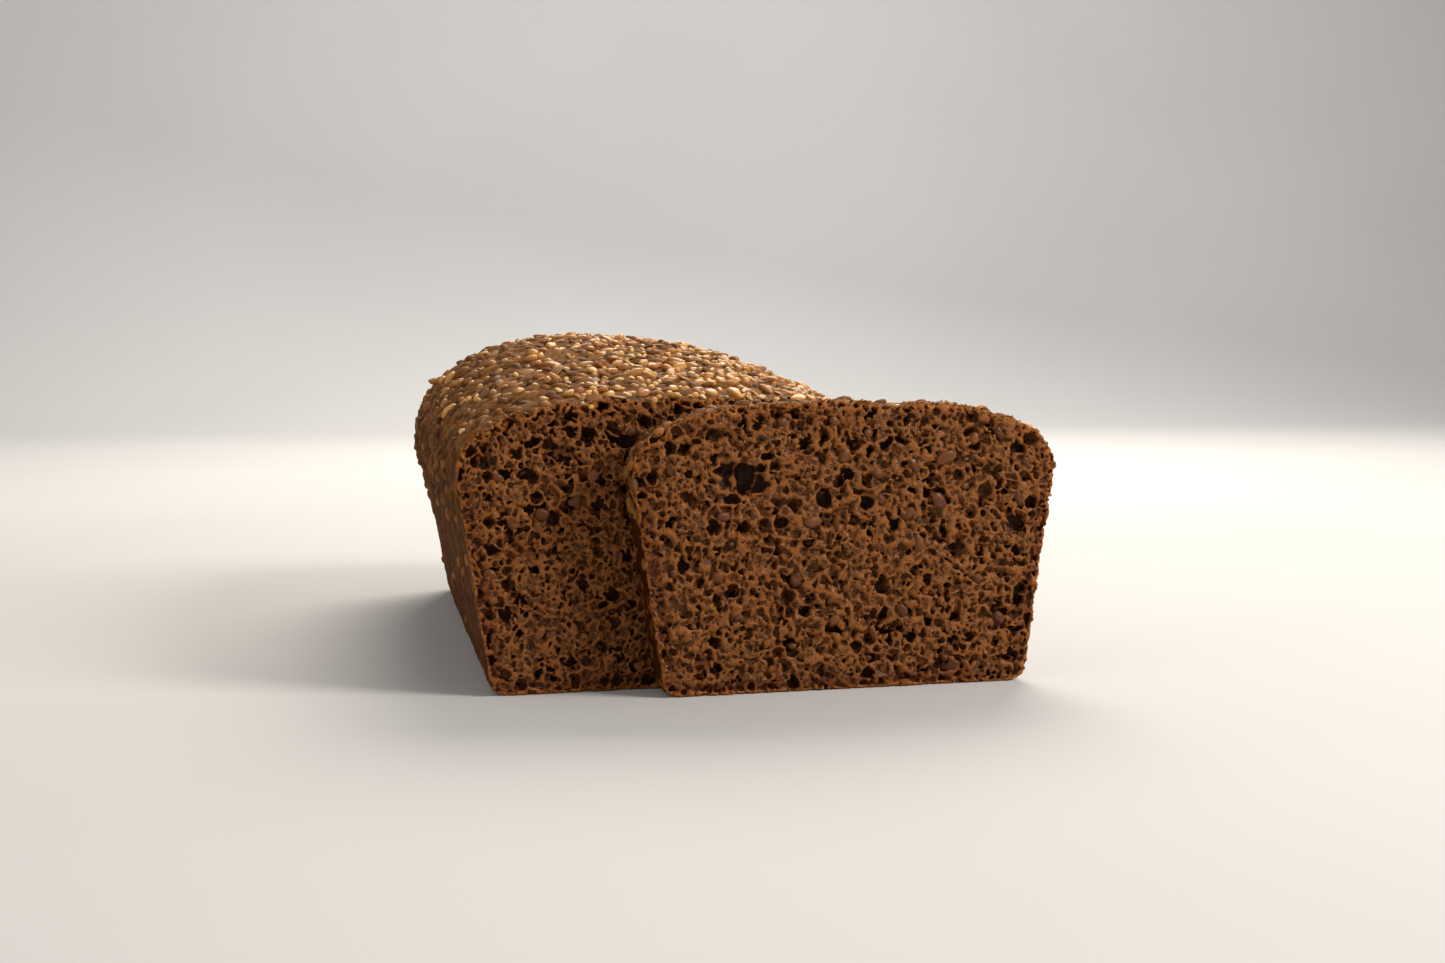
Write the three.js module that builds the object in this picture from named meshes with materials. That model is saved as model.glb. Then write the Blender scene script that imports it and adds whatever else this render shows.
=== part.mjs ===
// A tin-baked rye loaf with one thick slice cut from it. The slice stands in front of the cut face,
// slid to one side. Both are solid bread. Millimetres, +Z up, +Y along the loaf away from the cut.
// The origin is the middle of the loaf's base.

import * as THREE from "three";

// The tin's section, which the loaf and the slice share.
const BASE_WIDTH = 100; // flat base, measured to the corners before they are rounded
const SHOULDER_WIDTH = 117; // widest place, at the rim of the tin
const SHOULDER_HEIGHT = 57; // rim of the tin above the base
const TOE_RADIUS = 4; // rounding where a wall meets the base
const DOME_POWER = 2.6; // shape of the top crust at the cut: 2 is an ellipse, and more is squarer

// The loaf along its length.
const LOAF_LENGTH = 222;
const CUT_HEIGHT = 76.5; // top of the cut face
const CROWN_HEIGHT = 91.5; // top of the dome
const END_HEIGHT = 73; // top of the baked end, before its edge is rounded
const CROWN_PLACE = 0.55; // where the dome is highest, as a share of the length
const CROWN_POWER = 2.25; // shape of the top crust there, rounder than at the cut
const CROWN_TILT = 0.14; // how much more the dough rose on the -X side there, as a share of the dome
const BELLY = 5; // how far each wall bulges past the shoulder at the middle
const END_CORNER = 17; // rounding of the baked end, in plan
const END_DROP = 0.6; // how far the top rounds over there, as a share of END_CORNER
const END_TAPER = 5; // how far the baked end leans out from base to shoulder
const CUT_SKEW = THREE.MathUtils.degToRad(4.6); // the knife's slant across the loaf

// The slice.
const SLICE_THICKNESS = 14;
const SLICE_GAP = 1; // between the slice and the loaf's cut face
const SLICE_SHIFT = 43; // along the cut face, towards +X
const SLICE_SAG = 2; // depth of the hollow in its top crust
const SAG_PLACE = 13; // middle of that hollow, from the slice's own middle
const SAG_WIDTH = 7; // half the width of that hollow

// Fineness of the faceted surfaces.
const DOME_POINTS = 17; // on each half of the dome
const WALL_POINTS = 6;
const TOE_POINTS = 3;
const LOAF_STATIONS = 34;
const SLICE_STATIONS = 3;

// Height of the dome as a share of its rise, at a place from -1 to 1 across it.
function domeShare(across, power) {
  return Math.pow(Math.max(0, 1 - Math.pow(Math.abs(across), power)), 1 / power);
}

// Half of the tin's section: round the toe, up the wall and over the dome, stopping short of its top.
function halfSection(height) {
  const halfBase = BASE_WIDTH / 2;
  const halfShoulder = SHOULDER_WIDTH / 2;
  const upright = Math.PI / 2 - Math.atan2(halfShoulder - halfBase, SHOULDER_HEIGHT); // wall above the base
  const toe = TOE_RADIUS * Math.tan(upright / 2);
  const points = [];
  for (let i = 0; i <= TOE_POINTS; i++) {
    const turn = (i / TOE_POINTS) * upright;
    const out = TOE_RADIUS * Math.sin(turn);
    const rise = TOE_RADIUS * (1 - Math.cos(turn));
    points.push(new THREE.Vector2(halfBase - toe + out, rise));
  }
  const foot = points[TOE_POINTS];
  const shoulder = new THREE.Vector2(halfShoulder, SHOULDER_HEIGHT);
  for (let i = 1; i <= WALL_POINTS; i++) {
    points.push(foot.clone().lerp(shoulder, i / WALL_POINTS));
  }
  for (let i = 1; i < DOME_POINTS; i++) {
    const turn = (i / DOME_POINTS) * (Math.PI / 2);
    const across = Math.pow(Math.cos(turn), 2 / DOME_POWER);
    const rise = (height - SHOULDER_HEIGHT) * domeShare(across, DOME_POWER);
    points.push(new THREE.Vector2(halfShoulder * across, SHOULDER_HEIGHT + rise));
  }
  return points;
}

// The tin's whole section, going round from one wall's foot over the dome to the other's.
function tinSection(height) {
  const right = halfSection(height);
  const left = right.map((point) => new THREE.Vector2(-point.x, point.y)).reverse();
  return new THREE.Shape([...right, new THREE.Vector2(0, height), ...left]);
}

// A section drawn along +Y from 0 to length, in a number of steps.
function drawnAlongY(section, length, steps) {
  const solid = new THREE.ExtrudeGeometry(section, { depth: length, steps, bevelEnabled: false });
  solid.rotateX(Math.PI / 2);
  solid.translate(0, length, 0);
  return solid;
}

// How much of a quarter circle of the given radius is left, at a distance from the end that it rounds.
function roundedOff(fromEnd, radius) {
  const into = Math.max(0, 1 - fromEnd / radius);
  return radius * (1 - Math.sqrt(Math.max(0, 1 - into * into)));
}

// Height of the dome's top at a share of the way along the loaf: a smooth rise and fall.
function crownAt(share) {
  const rise = share < CROWN_PLACE ? share / CROWN_PLACE : (1 - share) / (1 - CROWN_PLACE);
  const low = share < CROWN_PLACE ? CUT_HEIGHT : END_HEIGHT;
  return low + (CROWN_HEIGHT - low) * Math.sin((rise * Math.PI) / 2);
}

// The loaf: the section drawn along its length, then domed, bellied, skewed at the cut and rounded at the end.
function loafGeometry() {
  const solid = drawnAlongY(tinSection(CUT_HEIGHT), 1, LOAF_STATIONS);
  const at = solid.getAttribute("position");
  const point = new THREE.Vector3();
  for (let i = 0; i < at.count; i++) {
    point.fromBufferAttribute(at, i);
    const share = Math.sin((point.y * Math.PI) / 2); // stations close up towards the rounded end
    const fromEnd = (1 - share) * LOAF_LENGTH;
    const rounding = roundedOff(fromEnd, END_CORNER);
    const middle = Math.sin(share * Math.PI);
    const wall = Math.min(1, point.z / SHOULDER_HEIGHT);
    const half = SHOULDER_WIDTH / 2;
    const across = point.x / half;
    const rise = crownAt(share) - SHOULDER_HEIGHT - rounding * END_DROP;
    const power = THREE.MathUtils.lerp(DOME_POWER, CROWN_POWER, middle);
    const dome = point.z > SHOULDER_HEIGHT ? rise * domeShare(across, power) : 0;
    const x = across * (half + BELLY * wall * middle - rounding);
    const z = Math.min(point.z, SHOULDER_HEIGHT) + dome * (1 - CROWN_TILT * middle * across);
    const cut = x * Math.tan(CUT_SKEW);
    const end = LOAF_LENGTH + END_TAPER * (wall - 1);
    at.setXYZ(i, x, cut + (end - cut) * share - LOAF_LENGTH / 2, z);
  }
  solid.computeVertexNormals();
  return solid;
}

// The slice, standing behind its own front face: y runs from -SLICE_THICKNESS to 0.
function sliceGeometry() {
  const solid = drawnAlongY(tinSection(CUT_HEIGHT), SLICE_THICKNESS, SLICE_STATIONS);
  solid.translate(0, -SLICE_THICKNESS, 0);
  const at = solid.getAttribute("position");
  for (let i = 0; i < at.count; i++) {
    const above = Math.max(0, at.getZ(i) - SHOULDER_HEIGHT) / (CUT_HEIGHT - SHOULDER_HEIGHT);
    const across = (at.getX(i) - SAG_PLACE) / SAG_WIDTH;
    at.setZ(i, at.getZ(i) - above * SLICE_SAG * Math.exp(-across * across));
  }
  solid.computeVertexNormals();
  return solid;
}

function bread(name, geometry, colour) {
  const material = new THREE.MeshStandardMaterial({ color: colour, roughness: 0.8, metalness: 0 });
  const mesh = new THREE.Mesh(geometry, material);
  mesh.name = name;
  return mesh;
}

const ryeLoaf = new THREE.Group();

const loaf = bread("loaf", loafGeometry(), 0x6f4f33);
ryeLoaf.add(loaf);

const cutFace = new THREE.Group(); // its +X lies along the cut face
cutFace.position.y = -LOAF_LENGTH / 2;
cutFace.rotation.z = CUT_SKEW;
const slice = bread("slice", sliceGeometry(), 0x6b4529);
slice.position.set(SLICE_SHIFT, -SLICE_GAP, 0);
cutFace.add(slice);
ryeLoaf.add(cutFace);

export default ryeLoaf;
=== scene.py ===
"""The looks of a dark whole-grain rye loaf and the slice that stands in front of its cut face.

Lengths are metres in the part's own frame: +Z up, +Y along the loaf away from its cut, the origin in the
middle of the loaf's base.
"""

import logging
import math
import random
from dataclasses import dataclass, field
from enum import Enum
from itertools import accumulate, product
from typing import Optional, Sequence, Union

import bmesh
import bpy
import numpy as np
from mathutils import Matrix, Vector, noise
from mathutils.bvhtree import BVHTree


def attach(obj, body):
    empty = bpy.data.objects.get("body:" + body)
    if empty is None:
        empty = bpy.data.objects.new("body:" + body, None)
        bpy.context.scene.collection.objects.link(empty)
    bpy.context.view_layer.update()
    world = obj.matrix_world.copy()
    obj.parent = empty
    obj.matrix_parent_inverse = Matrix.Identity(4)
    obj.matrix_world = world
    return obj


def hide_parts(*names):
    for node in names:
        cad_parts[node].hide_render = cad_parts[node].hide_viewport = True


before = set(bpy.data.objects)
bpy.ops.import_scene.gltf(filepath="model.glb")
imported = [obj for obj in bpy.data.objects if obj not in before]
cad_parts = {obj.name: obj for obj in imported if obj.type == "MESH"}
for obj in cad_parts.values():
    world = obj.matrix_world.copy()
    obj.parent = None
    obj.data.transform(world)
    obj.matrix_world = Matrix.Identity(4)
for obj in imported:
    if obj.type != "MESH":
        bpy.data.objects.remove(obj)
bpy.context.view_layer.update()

MM = 0.001
BODY = "root"
MOST_TRIANGLES = 196_000  # in one piece
log = logging.getLogger("rye_loaf")

Number = Union[int, float]
Colour = tuple[float, float, float]


# ---------------------------------------------------------------------------------------------------
# Node graphs
# ---------------------------------------------------------------------------------------------------


class Field:
    """The value of a node's output, with arithmetic that adds the math nodes for it."""

    def __init__(self, graph: "Graph", socket: bpy.types.NodeSocket) -> None:
        """Wraps one output socket of a graph."""
        self.graph = graph
        self.socket = socket

    def __add__(self, other: "Term") -> "Field":
        """Sum."""
        return self.graph.math("ADD", self, other)

    def __radd__(self, other: Number) -> "Field":
        """Sum with a number on the left."""
        return self.graph.math("ADD", other, self)

    def __sub__(self, other: "Term") -> "Field":
        """Difference."""
        return self.graph.math("SUBTRACT", self, other)

    def __rsub__(self, other: Number) -> "Field":
        """Difference from a number."""
        return self.graph.math("SUBTRACT", other, self)

    def __mul__(self, other: "Term") -> "Field":
        """Product."""
        return self.graph.math("MULTIPLY", self, other)

    def __rmul__(self, other: Number) -> "Field":
        """Product with a number on the left."""
        return self.graph.math("MULTIPLY", other, self)

    def __truediv__(self, other: "Term") -> "Field":
        """Quotient."""
        return self.graph.math("DIVIDE", self, other)


Term = Union[Field, Number]
Input = Union[Field, Number, str, Sequence[float], bpy.types.Object]


class Graph:
    """A node tree of geometry or of a material, with short calls that add the usual nodes."""

    def __init__(self, tree: bpy.types.NodeTree) -> None:
        """Works on a tree that exists already."""
        self.tree = tree

    @classmethod
    def of_geometry(cls, name: str) -> "Graph":
        """Starts an empty geometry node tree with one geometry in and one out.

        Args:
            name: of the tree.

        Returns:
            The graph.
        """
        tree = bpy.data.node_groups.new(name, "GeometryNodeTree")
        tree.interface.new_socket("Geometry", in_out="INPUT", socket_type="NodeSocketGeometry")
        tree.interface.new_socket("Geometry", in_out="OUTPUT", socket_type="NodeSocketGeometry")
        return cls(tree)

    def node(self, kind: str, inputs: Optional[dict] = None, **settings: object) -> bpy.types.Node:
        """Adds a node.

        Args:
            kind: the node's type name.
            inputs: a value or a Field for each input, by the input's name or number.
            settings: the node's own properties.

        Returns:
            The new node.
        """
        node = self.tree.nodes.new(kind)
        for key, value in settings.items():
            setattr(node, key, value)
        for key, value in (inputs or {}).items():
            self.feed(node.inputs[key], value)
        return node

    def feed(self, socket: bpy.types.NodeSocket, value: Input) -> None:
        """Links a Field to an input, or sets the input's own value.

        Args:
            socket: the input.
            value: a Field, or a plain value.
        """
        if isinstance(value, Field):
            self.tree.links.new(value.socket, socket)
        else:
            socket.default_value = value

    def out(self, node: bpy.types.Node, name: Union[str, int] = 0) -> Field:
        """Wraps one output of a node."""
        return Field(self, node.outputs[name])

    def math(self, operation: str, *terms: Term) -> Field:
        """Adds a math node on up to three terms."""
        node = self.node("ShaderNodeMath", dict(enumerate(terms)), operation=operation)
        return self.out(node)

    def vector(self, operation: str, *terms: Input, scale: Optional[Term] = None) -> Field:
        """Adds a vector math node, with its Scale input where one is given.

        Args:
            operation: the node's operation.
            terms: its vectors.
            scale: for the operations that have one.

        Returns:
            The resulting vector or number.
        """
        node = self.node("ShaderNodeVectorMath", dict(enumerate(terms)), operation=operation)
        if scale is not None:
            self.feed(node.inputs["Scale"], scale)
        is_number = operation in ("LENGTH", "DOT_PRODUCT", "DISTANCE")
        return self.out(node, "Value" if is_number else "Vector")

    def parts(self, vector: Field) -> tuple[Field, Field, Field]:
        """Splits a vector or a colour into three numbers."""
        node = self.node("ShaderNodeSeparateXYZ", {0: vector})
        return self.out(node, 0), self.out(node, 1), self.out(node, 2)

    def ramp(self, value: Field, start: Term, stop: Term, low: Term = 0.0, high: Term = 1.0) -> Field:
        """Goes smoothly from low, where the value is at start, to high, where it is at stop."""
        ends = {"Value": value, "From Min": start, "From Max": stop, "To Min": low, "To Max": high}
        return self.out(self.node("ShaderNodeMapRange", ends, interpolation_type="SMOOTHSTEP"))

    def noise(self, place: Field, size: float, detail: float = 2.0, distortion: float = 0.0) -> Field:
        """Soft noise from 0 to 1 whose lumps are about a size across."""
        inputs = {"Vector": place, "Scale": 1.0 / size, "Detail": detail, "Distortion": distortion}
        return self.out(self.node("ShaderNodeTexNoise", inputs), 0)

    def wander(self, place: Field, size: float, reach: float) -> Field:
        """A vector that varies smoothly over a size and reaches about that far each way.

        Args:
            place: where each point is.
            size: how far apart its turns lie.
            reach: about how far it goes.

        Returns:
            The vector.
        """
        node = self.node("ShaderNodeTexNoise", {"Vector": place, "Scale": 1.0 / size, "Detail": 2.0})
        centred = self.vector("SUBTRACT", self.out(node, "Color"), (0.5, 0.5, 0.5))
        return self.vector("SCALE", centred, scale=2.0 * reach)

    def cells(self, place: Field, size: float, feature: str = "F1") -> bpy.types.Node:
        """Random cells about a size across. Its Distance output times the size is in metres."""
        return self.node("ShaderNodeTexVoronoi", {"Vector": place, "Scale": 1.0 / size}, feature=feature)

    def mix(self, share: Term, first: Input, second: Input, blend: str = "MIX") -> Field:
        """Mixes two colours.

        Args:
            share: of the second colour.
            first: colour.
            second: colour.
            blend: how the second is laid on the first.

        Returns:
            The mixed colour.
        """
        node = self.node("ShaderNodeMix", data_type="RGBA", blend_type=blend)
        for key, value in ((0, share), (6, first), (7, second)):
            is_colour = isinstance(value, tuple)
            self.feed(node.inputs[key], (*value, 1.0) if is_colour else value)
        return self.out(node, 2)

    def attribute(self, name: str) -> Field:
        """A number that the mesh carries on its vertices, read by a material."""
        return self.out(self.node("ShaderNodeAttribute", attribute_name=name), "Fac")

    def position(self) -> Field:
        """Where each point of the geometry is."""
        return self.out(self.node("GeometryNodeInputPosition"))

    def normal(self) -> Field:
        """The direction that each point of the geometry faces."""
        return self.out(self.node("GeometryNodeInputNormal"), "Normal")

    def distance_to(self, source: bpy.types.Object, place: Field) -> Field:
        """How far a place is from the surface of another object.

        Args:
            source: the other object.
            place: where each point is.

        Returns:
            The distance in metres.
        """
        surface = self.out(self.node("GeometryNodeObjectInfo", {"Object": source}), "Geometry")
        inputs = {"Geometry": surface, "Sample Position": place}
        near = self.node("GeometryNodeProximity", inputs, target_element="FACES")
        return self.out(near, "Distance")


# ---------------------------------------------------------------------------------------------------
# Meshes
# ---------------------------------------------------------------------------------------------------


def new_object(name: str, mesh: bpy.types.Mesh) -> bpy.types.Object:
    """Makes an object for a mesh and puts it in the scene.

    Args:
        name: of the object.
        mesh: its mesh.

    Returns:
        The object.
    """
    made = bpy.data.objects.new(name, mesh)
    bpy.context.scene.collection.objects.link(made)
    return made


def drop(*objects: bpy.types.Object) -> None:
    """Removes helper objects and their meshes.

    Args:
        objects: what to remove.
    """
    for old in objects:
        mesh = old.data
        bpy.data.objects.remove(old)
        bpy.data.meshes.remove(mesh)


def evaluated(made: bpy.types.Object, name: str) -> bpy.types.Mesh:
    """The mesh of an object with its modifiers applied.

    Args:
        made: the object.
        name: of the new mesh.

    Returns:
        A new mesh.
    """
    graph = bpy.context.evaluated_depsgraph_get()
    mesh = bpy.data.meshes.new_from_object(made.evaluated_get(graph))
    mesh.name = name
    return mesh


def through(mesh: bpy.types.Mesh, graph: Graph, geometry: Field, name: str) -> bpy.types.Mesh:
    """Runs a mesh through a geometry graph.

    Args:
        mesh: what goes in, which is used up.
        graph: the geometry graph.
        geometry: the field of the graph that holds the finished geometry.
        name: the name of the mesh that comes out.

    Returns:
        The mesh that comes out.
    """
    graph.node("NodeGroupOutput", {0: geometry})
    holder = new_object(name, mesh)
    modifier = holder.modifiers.new(name, "NODES")
    modifier.node_group = graph.tree
    result = evaluated(holder, name)
    drop(holder)
    bpy.data.node_groups.remove(graph.tree)
    return result


def largest(graph: Graph, geometry: Field) -> Field:
    """Keeps the largest connected part of a geometry and leaves out all that is loose.

    Args:
        graph: the graph to build in.
        geometry: what to keep a part of.

    Returns:
        The part that is kept.
    """
    island = graph.out(graph.node("GeometryNodeInputMeshIsland"), "Island Index")
    total_node = graph.node("GeometryNodeAccumulateField", {"Value": 1.0, "Group ID": island})
    total = graph.out(total_node, "Total")
    statistic = graph.node("GeometryNodeAttributeStatistic", {"Geometry": geometry, "Attribute": total})
    small = graph.math("LESS_THAN", total, graph.out(statistic, "Max") - 0.5)
    return graph.out(graph.node("GeometryNodeDeleteGeometry", {"Geometry": geometry, "Selection": small}))


def mend(mesh: bpy.types.Mesh, tiny: float = 0.002 * MM, rounds: int = 12) -> None:
    """Cuts out the few places that thinning left folded or torn, and closes the mesh over them.

    Args:
        mesh: is changed in place.
        tiny: points nearer than this are joined.
        rounds: the most times that it cuts and closes.
    """
    work = bmesh.new()
    work.from_mesh(mesh)
    bmesh.ops.remove_doubles(work, verts=work.verts, dist=tiny)
    bmesh.ops.dissolve_degenerate(work, edges=work.edges, dist=tiny)
    for _ in range(rounds):
        faulty = {vertex for edge in work.edges if len(edge.link_faces) != 2 for vertex in edge.verts}
        faulty |= {vertex for vertex in work.verts if not vertex.is_manifold}
        if not faulty:
            break
        bmesh.ops.delete(work, geom=list(faulty), context="VERTS")
        rims = [edge for edge in work.edges if edge.is_boundary]
        filled = bmesh.ops.holes_fill(work, edges=rims, sides=0)["faces"]
        bmesh.ops.poke(work, faces=filled)
    left = sum(len(edge.link_faces) != 2 for edge in work.edges)
    log.info("mended: %d edges left open or crowded", left)
    work.to_mesh(mesh)
    work.free()


def to_mesh(work: bmesh.types.BMesh, name: str) -> bpy.types.Mesh:
    """Turns a bmesh into a new mesh and frees it.

    Args:
        work: the bmesh, which is used up.
        name: of the mesh.

    Returns:
        The mesh.
    """
    mesh = bpy.data.meshes.new(name)
    work.to_mesh(mesh)
    work.free()
    return mesh


def triangles(mesh: bpy.types.Mesh) -> int:
    """How many triangles a mesh has once its faces are cut into triangles.

    Args:
        mesh: the mesh.

    Returns:
        Their number.
    """
    corners = np.empty(len(mesh.polygons), dtype=np.int32)
    mesh.polygons.foreach_get("loop_total", corners)
    return int((corners - 2).sum())


def points_of(mesh: bpy.types.Mesh) -> np.ndarray:
    """The places of a mesh's vertices, one row each.

    Args:
        mesh: the mesh.

    Returns:
        An array of three columns.
    """
    places = np.empty(len(mesh.vertices) * 3)
    mesh.vertices.foreach_get("co", places)
    return places.reshape(-1, 3)


def smooth(mesh: bpy.types.Mesh) -> None:
    """Shades every face of a mesh smoothly."""
    mesh.polygons.foreach_set("use_smooth", [True] * len(mesh.polygons))


# ---------------------------------------------------------------------------------------------------
# The knife's cuts
# ---------------------------------------------------------------------------------------------------


@dataclass
class Cut:
    """A flat face left by the knife, upright and square to the board."""

    middle: Vector  # on the face, at the foot of its middle
    inward: Vector  # unit vector into the bread
    across: Vector  # unit vector along the face, level
    width: float
    height: float

    @classmethod
    def find(cls, mesh: bpy.types.Mesh, facing: Vector) -> "Cut":
        """Finds the flat face of a closed mesh that looks in a direction.

        Args:
            mesh: a merged copy of a CAD solid.
            facing: roughly the direction that the face looks in.

        Returns:
            The cut, with its size and place taken from the face's corners.
        """
        roughly = math.cos(math.radians(10))
        exactly = 0.9999
        faces = [face for face in mesh.polygons if face.normal.dot(facing) > roughly]
        flattest = max(faces, key=lambda face: face.area).normal
        faces = [face for face in faces if face.normal.dot(flattest) > exactly]
        corners = {index for face in faces for index in face.vertices}
        places = [mesh.vertices[index].co for index in corners]
        inward = -flattest.copy()
        inward.z = 0.0
        inward.normalize()
        across = Vector((0, 0, 1)).cross(inward)
        across = across if across.x > 0 else -across
        along = [place.dot(across) for place in places]
        deep = sum(place.dot(inward) for place in places) / len(places)
        middle = across * (max(along) + min(along)) / 2 + inward * deep
        height = max(place.z for place in places)
        return cls(middle, inward, across, max(along) - min(along), height)

    def depth(self, place: Vector) -> float:
        """How far a place lies behind the face, inside the bread."""
        return (place - self.middle).dot(self.inward)

    def matrix(self) -> Matrix:
        """From the cut's own axes, which are across, inward and up, to the part's.

        Returns:
            The matrix.
        """
        rows = (self.across, self.inward, Vector((0, 0, 1)))
        turned = Matrix(rows).transposed().to_4x4()
        return Matrix.Translation(self.middle) @ turned

    def is_mirrored(self) -> bool:
        """Whether the cut's own axes are left-handed, so that meshes are turned inside out by them."""
        return self.matrix().determinant() < 0


# ---------------------------------------------------------------------------------------------------
# Crumb
# ---------------------------------------------------------------------------------------------------


@dataclass(frozen=True)
class Pores:
    """One size class of the crumb's pores."""

    spacing: float  # between neighbouring pores
    smallest: float  # radius
    largest: float
    wall: float  # least bread between two of them
    share: float  # how many of the places hold a pore
    seed: float  # moves the pattern


@dataclass(frozen=True)
class Hollow:
    """One large hole, placed on a cut by its middle and its half sizes."""

    across: float
    up: float
    deep: float
    half: tuple[float, float, float]  # across, inward and up


@dataclass
class Crumb:
    """The open, sticky crumb that a cut lays bare."""

    pores: tuple[Pores, ...] = (
        Pores(
            spacing=9.0 * MM, smallest=1.4 * MM, largest=3.2 * MM, wall=0.9 * MM, share=0.16, seed=5.1 * MM
        ),
        Pores(
            spacing=4.2 * MM, smallest=0.7 * MM, largest=2.3 * MM, wall=0.45 * MM, share=0.52, seed=13.7 * MM
        ),
        Pores(
            spacing=2.4 * MM, smallest=0.4 * MM, largest=1.3 * MM, wall=0.32 * MM, share=0.80, seed=31.3 * MM
        ),
        Pores(
            spacing=1.4 * MM, smallest=0.28 * MM, largest=0.72 * MM, wall=0.26 * MM, share=0.8, seed=47.9 * MM
        ),
    )
    films: tuple[float, float] = (1.9 * MM, 3.6 * MM)  # shallow cells, close in some parts, wide in others
    film_parts: float = 8.0 * MM  # size of those parts
    film_depth: float = 1.7 * MM
    film_edge: float = 0.60 * MM
    bend: float = 1.5 * MM  # how far the pores are pulled out of shape
    bend_size: float = 6.0 * MM
    tear: float = 0.35 * MM  # the same at the scale of one wall
    tear_size: float = 1.5 * MM
    rind: float = 1.0 * MM  # pores are small and few this near the crust
    reach: float = 5.2 * MM  # no pore lies deeper behind the cut
    front: float = 2.2 * MM  # air in front of the cut
    margin: float = 3.5 * MM  # air round the face
    relief: float = 1.1 * MM  # how uneven the knife left the face
    relief_size: float = 3.4 * MM
    grain: float = 0.5 * MM  # the same at the scale of one ridge
    grain_size: float = 1.1 * MM
    rim_tear: float = 1.1 * MM  # how far the crust's own edge is torn back
    rounding: float = 0.20 * MM  # of the walls' edges
    hollow_rounding: float = 0.4 * MM
    hollow_bend: float = 1.9 * MM  # how far the large holes are pulled out of shape
    hollow_bend_size: float = 3.0 * MM
    nowhere: float = 10 * MM  # taken off the air where a pore is missing
    voxel: float = 0.37 * MM

    def air(
        self, cut: Cut, skin: bpy.types.Mesh, seed: float, hollows: Sequence[Hollow]
    ) -> bpy.types.Mesh:
        """Makes the air of one cut: a slab in front of it with every pore that opens into it.

        Args:
            cut: the cut face.
            skin: the bread's crust as an open surface, without its cut faces.
            seed: moves the pattern, so that no two cuts look alike.
            hollows: its large holes.

        Returns:
            A closed mesh of the air, in the cut's own axes.
        """
        local_skin = skin.copy()
        local_skin.transform(cut.matrix().inverted())
        skin_object = new_object("skin_for_air", local_skin)
        graph = Graph.of_geometry("air")
        place = graph.position()
        depth = graph.parts(place)[1]
        shifted = graph.vector("ADD", place, (seed, seed * 0.7, -seed))
        from_skin = graph.distance_to(skin_object, place)
        air = self.in_front(graph, shifted, depth, from_skin)
        for hollow in hollows:
            hole = self.hole(graph, place, hollow)
            air = graph.math("SMOOTH_MAX", air, hole, self.hollow_rounding)
        for pores in self.pores:
            layer = self.layer(graph, shifted, depth, from_skin, pores)
            air = graph.math("SMOOTH_MAX", air, layer, self.rounding)
        geometry = self.surface(graph, air, cut)
        mesh = through(bpy.data.meshes.new("air"), graph, largest(graph, geometry), "air")
        drop(skin_object)
        return mesh

    def in_front(self, graph: Graph, place: Field, depth: Field, from_skin: Field) -> Field:
        """Air in front of the uneven face that the knife left, positive in the air.

        Args:
            graph: the graph to build in.
            place: where each point is in the pattern.
            depth: how far behind the cut it is.
            from_skin: how far each point is from the crust.

        Returns:
            The result for each point.
        """
        coarse = (graph.noise(place, self.relief_size, 2.0) - 0.42) * self.relief
        torn = graph.ramp(from_skin, 0.5 * MM, 3.5 * MM, 3.2, 1.0)
        fine = (graph.noise(place, self.grain_size, 1.0, 0.6) - 0.5) * self.grain * torn
        bent = graph.vector("ADD", place, graph.wander(place, 4 * MM, 1.2 * MM))
        bent = graph.vector("ADD", bent, graph.wander(place, self.tear_size, self.tear))
        close, wide = (self.film(graph, bent, size) for size in self.films)
        part = graph.ramp(graph.noise(place, self.film_parts, 2.0), 0.44, 0.60)
        film = close + (wide - close) * part
        rim = graph.ramp(from_skin, 2.2 * MM, 0.2 * MM) * graph.noise(place, 1.6 * MM, 2.0) * self.rim_tear
        return coarse + fine + film + rim - depth

    def film(self, graph: Graph, place: Field, size: float) -> Field:
        """How deep the shallow cells of a size are.

        Args:
            graph: the graph to build in.
            place: where each point is in the pattern.
            size: of the cells.

        Returns:
            The result for each point.
        """
        chance = graph.parts(graph.out(graph.cells(place, size), "Color"))[0]
        edge = graph.out(graph.cells(place, size, "DISTANCE_TO_EDGE"), "Distance") * size
        return graph.ramp(edge, 0.12 * MM, self.film_edge) * (chance * 0.8 + 0.2) * self.film_depth

    def hole(self, graph: Graph, place: Field, hollow: Hollow) -> Field:
        """The air of one large hole, positive inside it.

        Args:
            graph: the graph to build in.
            place: where each point is.
            hollow: the hole.

        Returns:
            The result for each point.
        """
        bent = graph.vector("ADD", place, graph.wander(place, self.hollow_bend_size, self.hollow_bend))
        offset = graph.vector("SUBTRACT", bent, (hollow.across, hollow.deep, hollow.up))
        scaled = graph.vector("DIVIDE", offset, hollow.half)
        return (1.0 - graph.vector("LENGTH", scaled)) * min(hollow.half)

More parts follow.
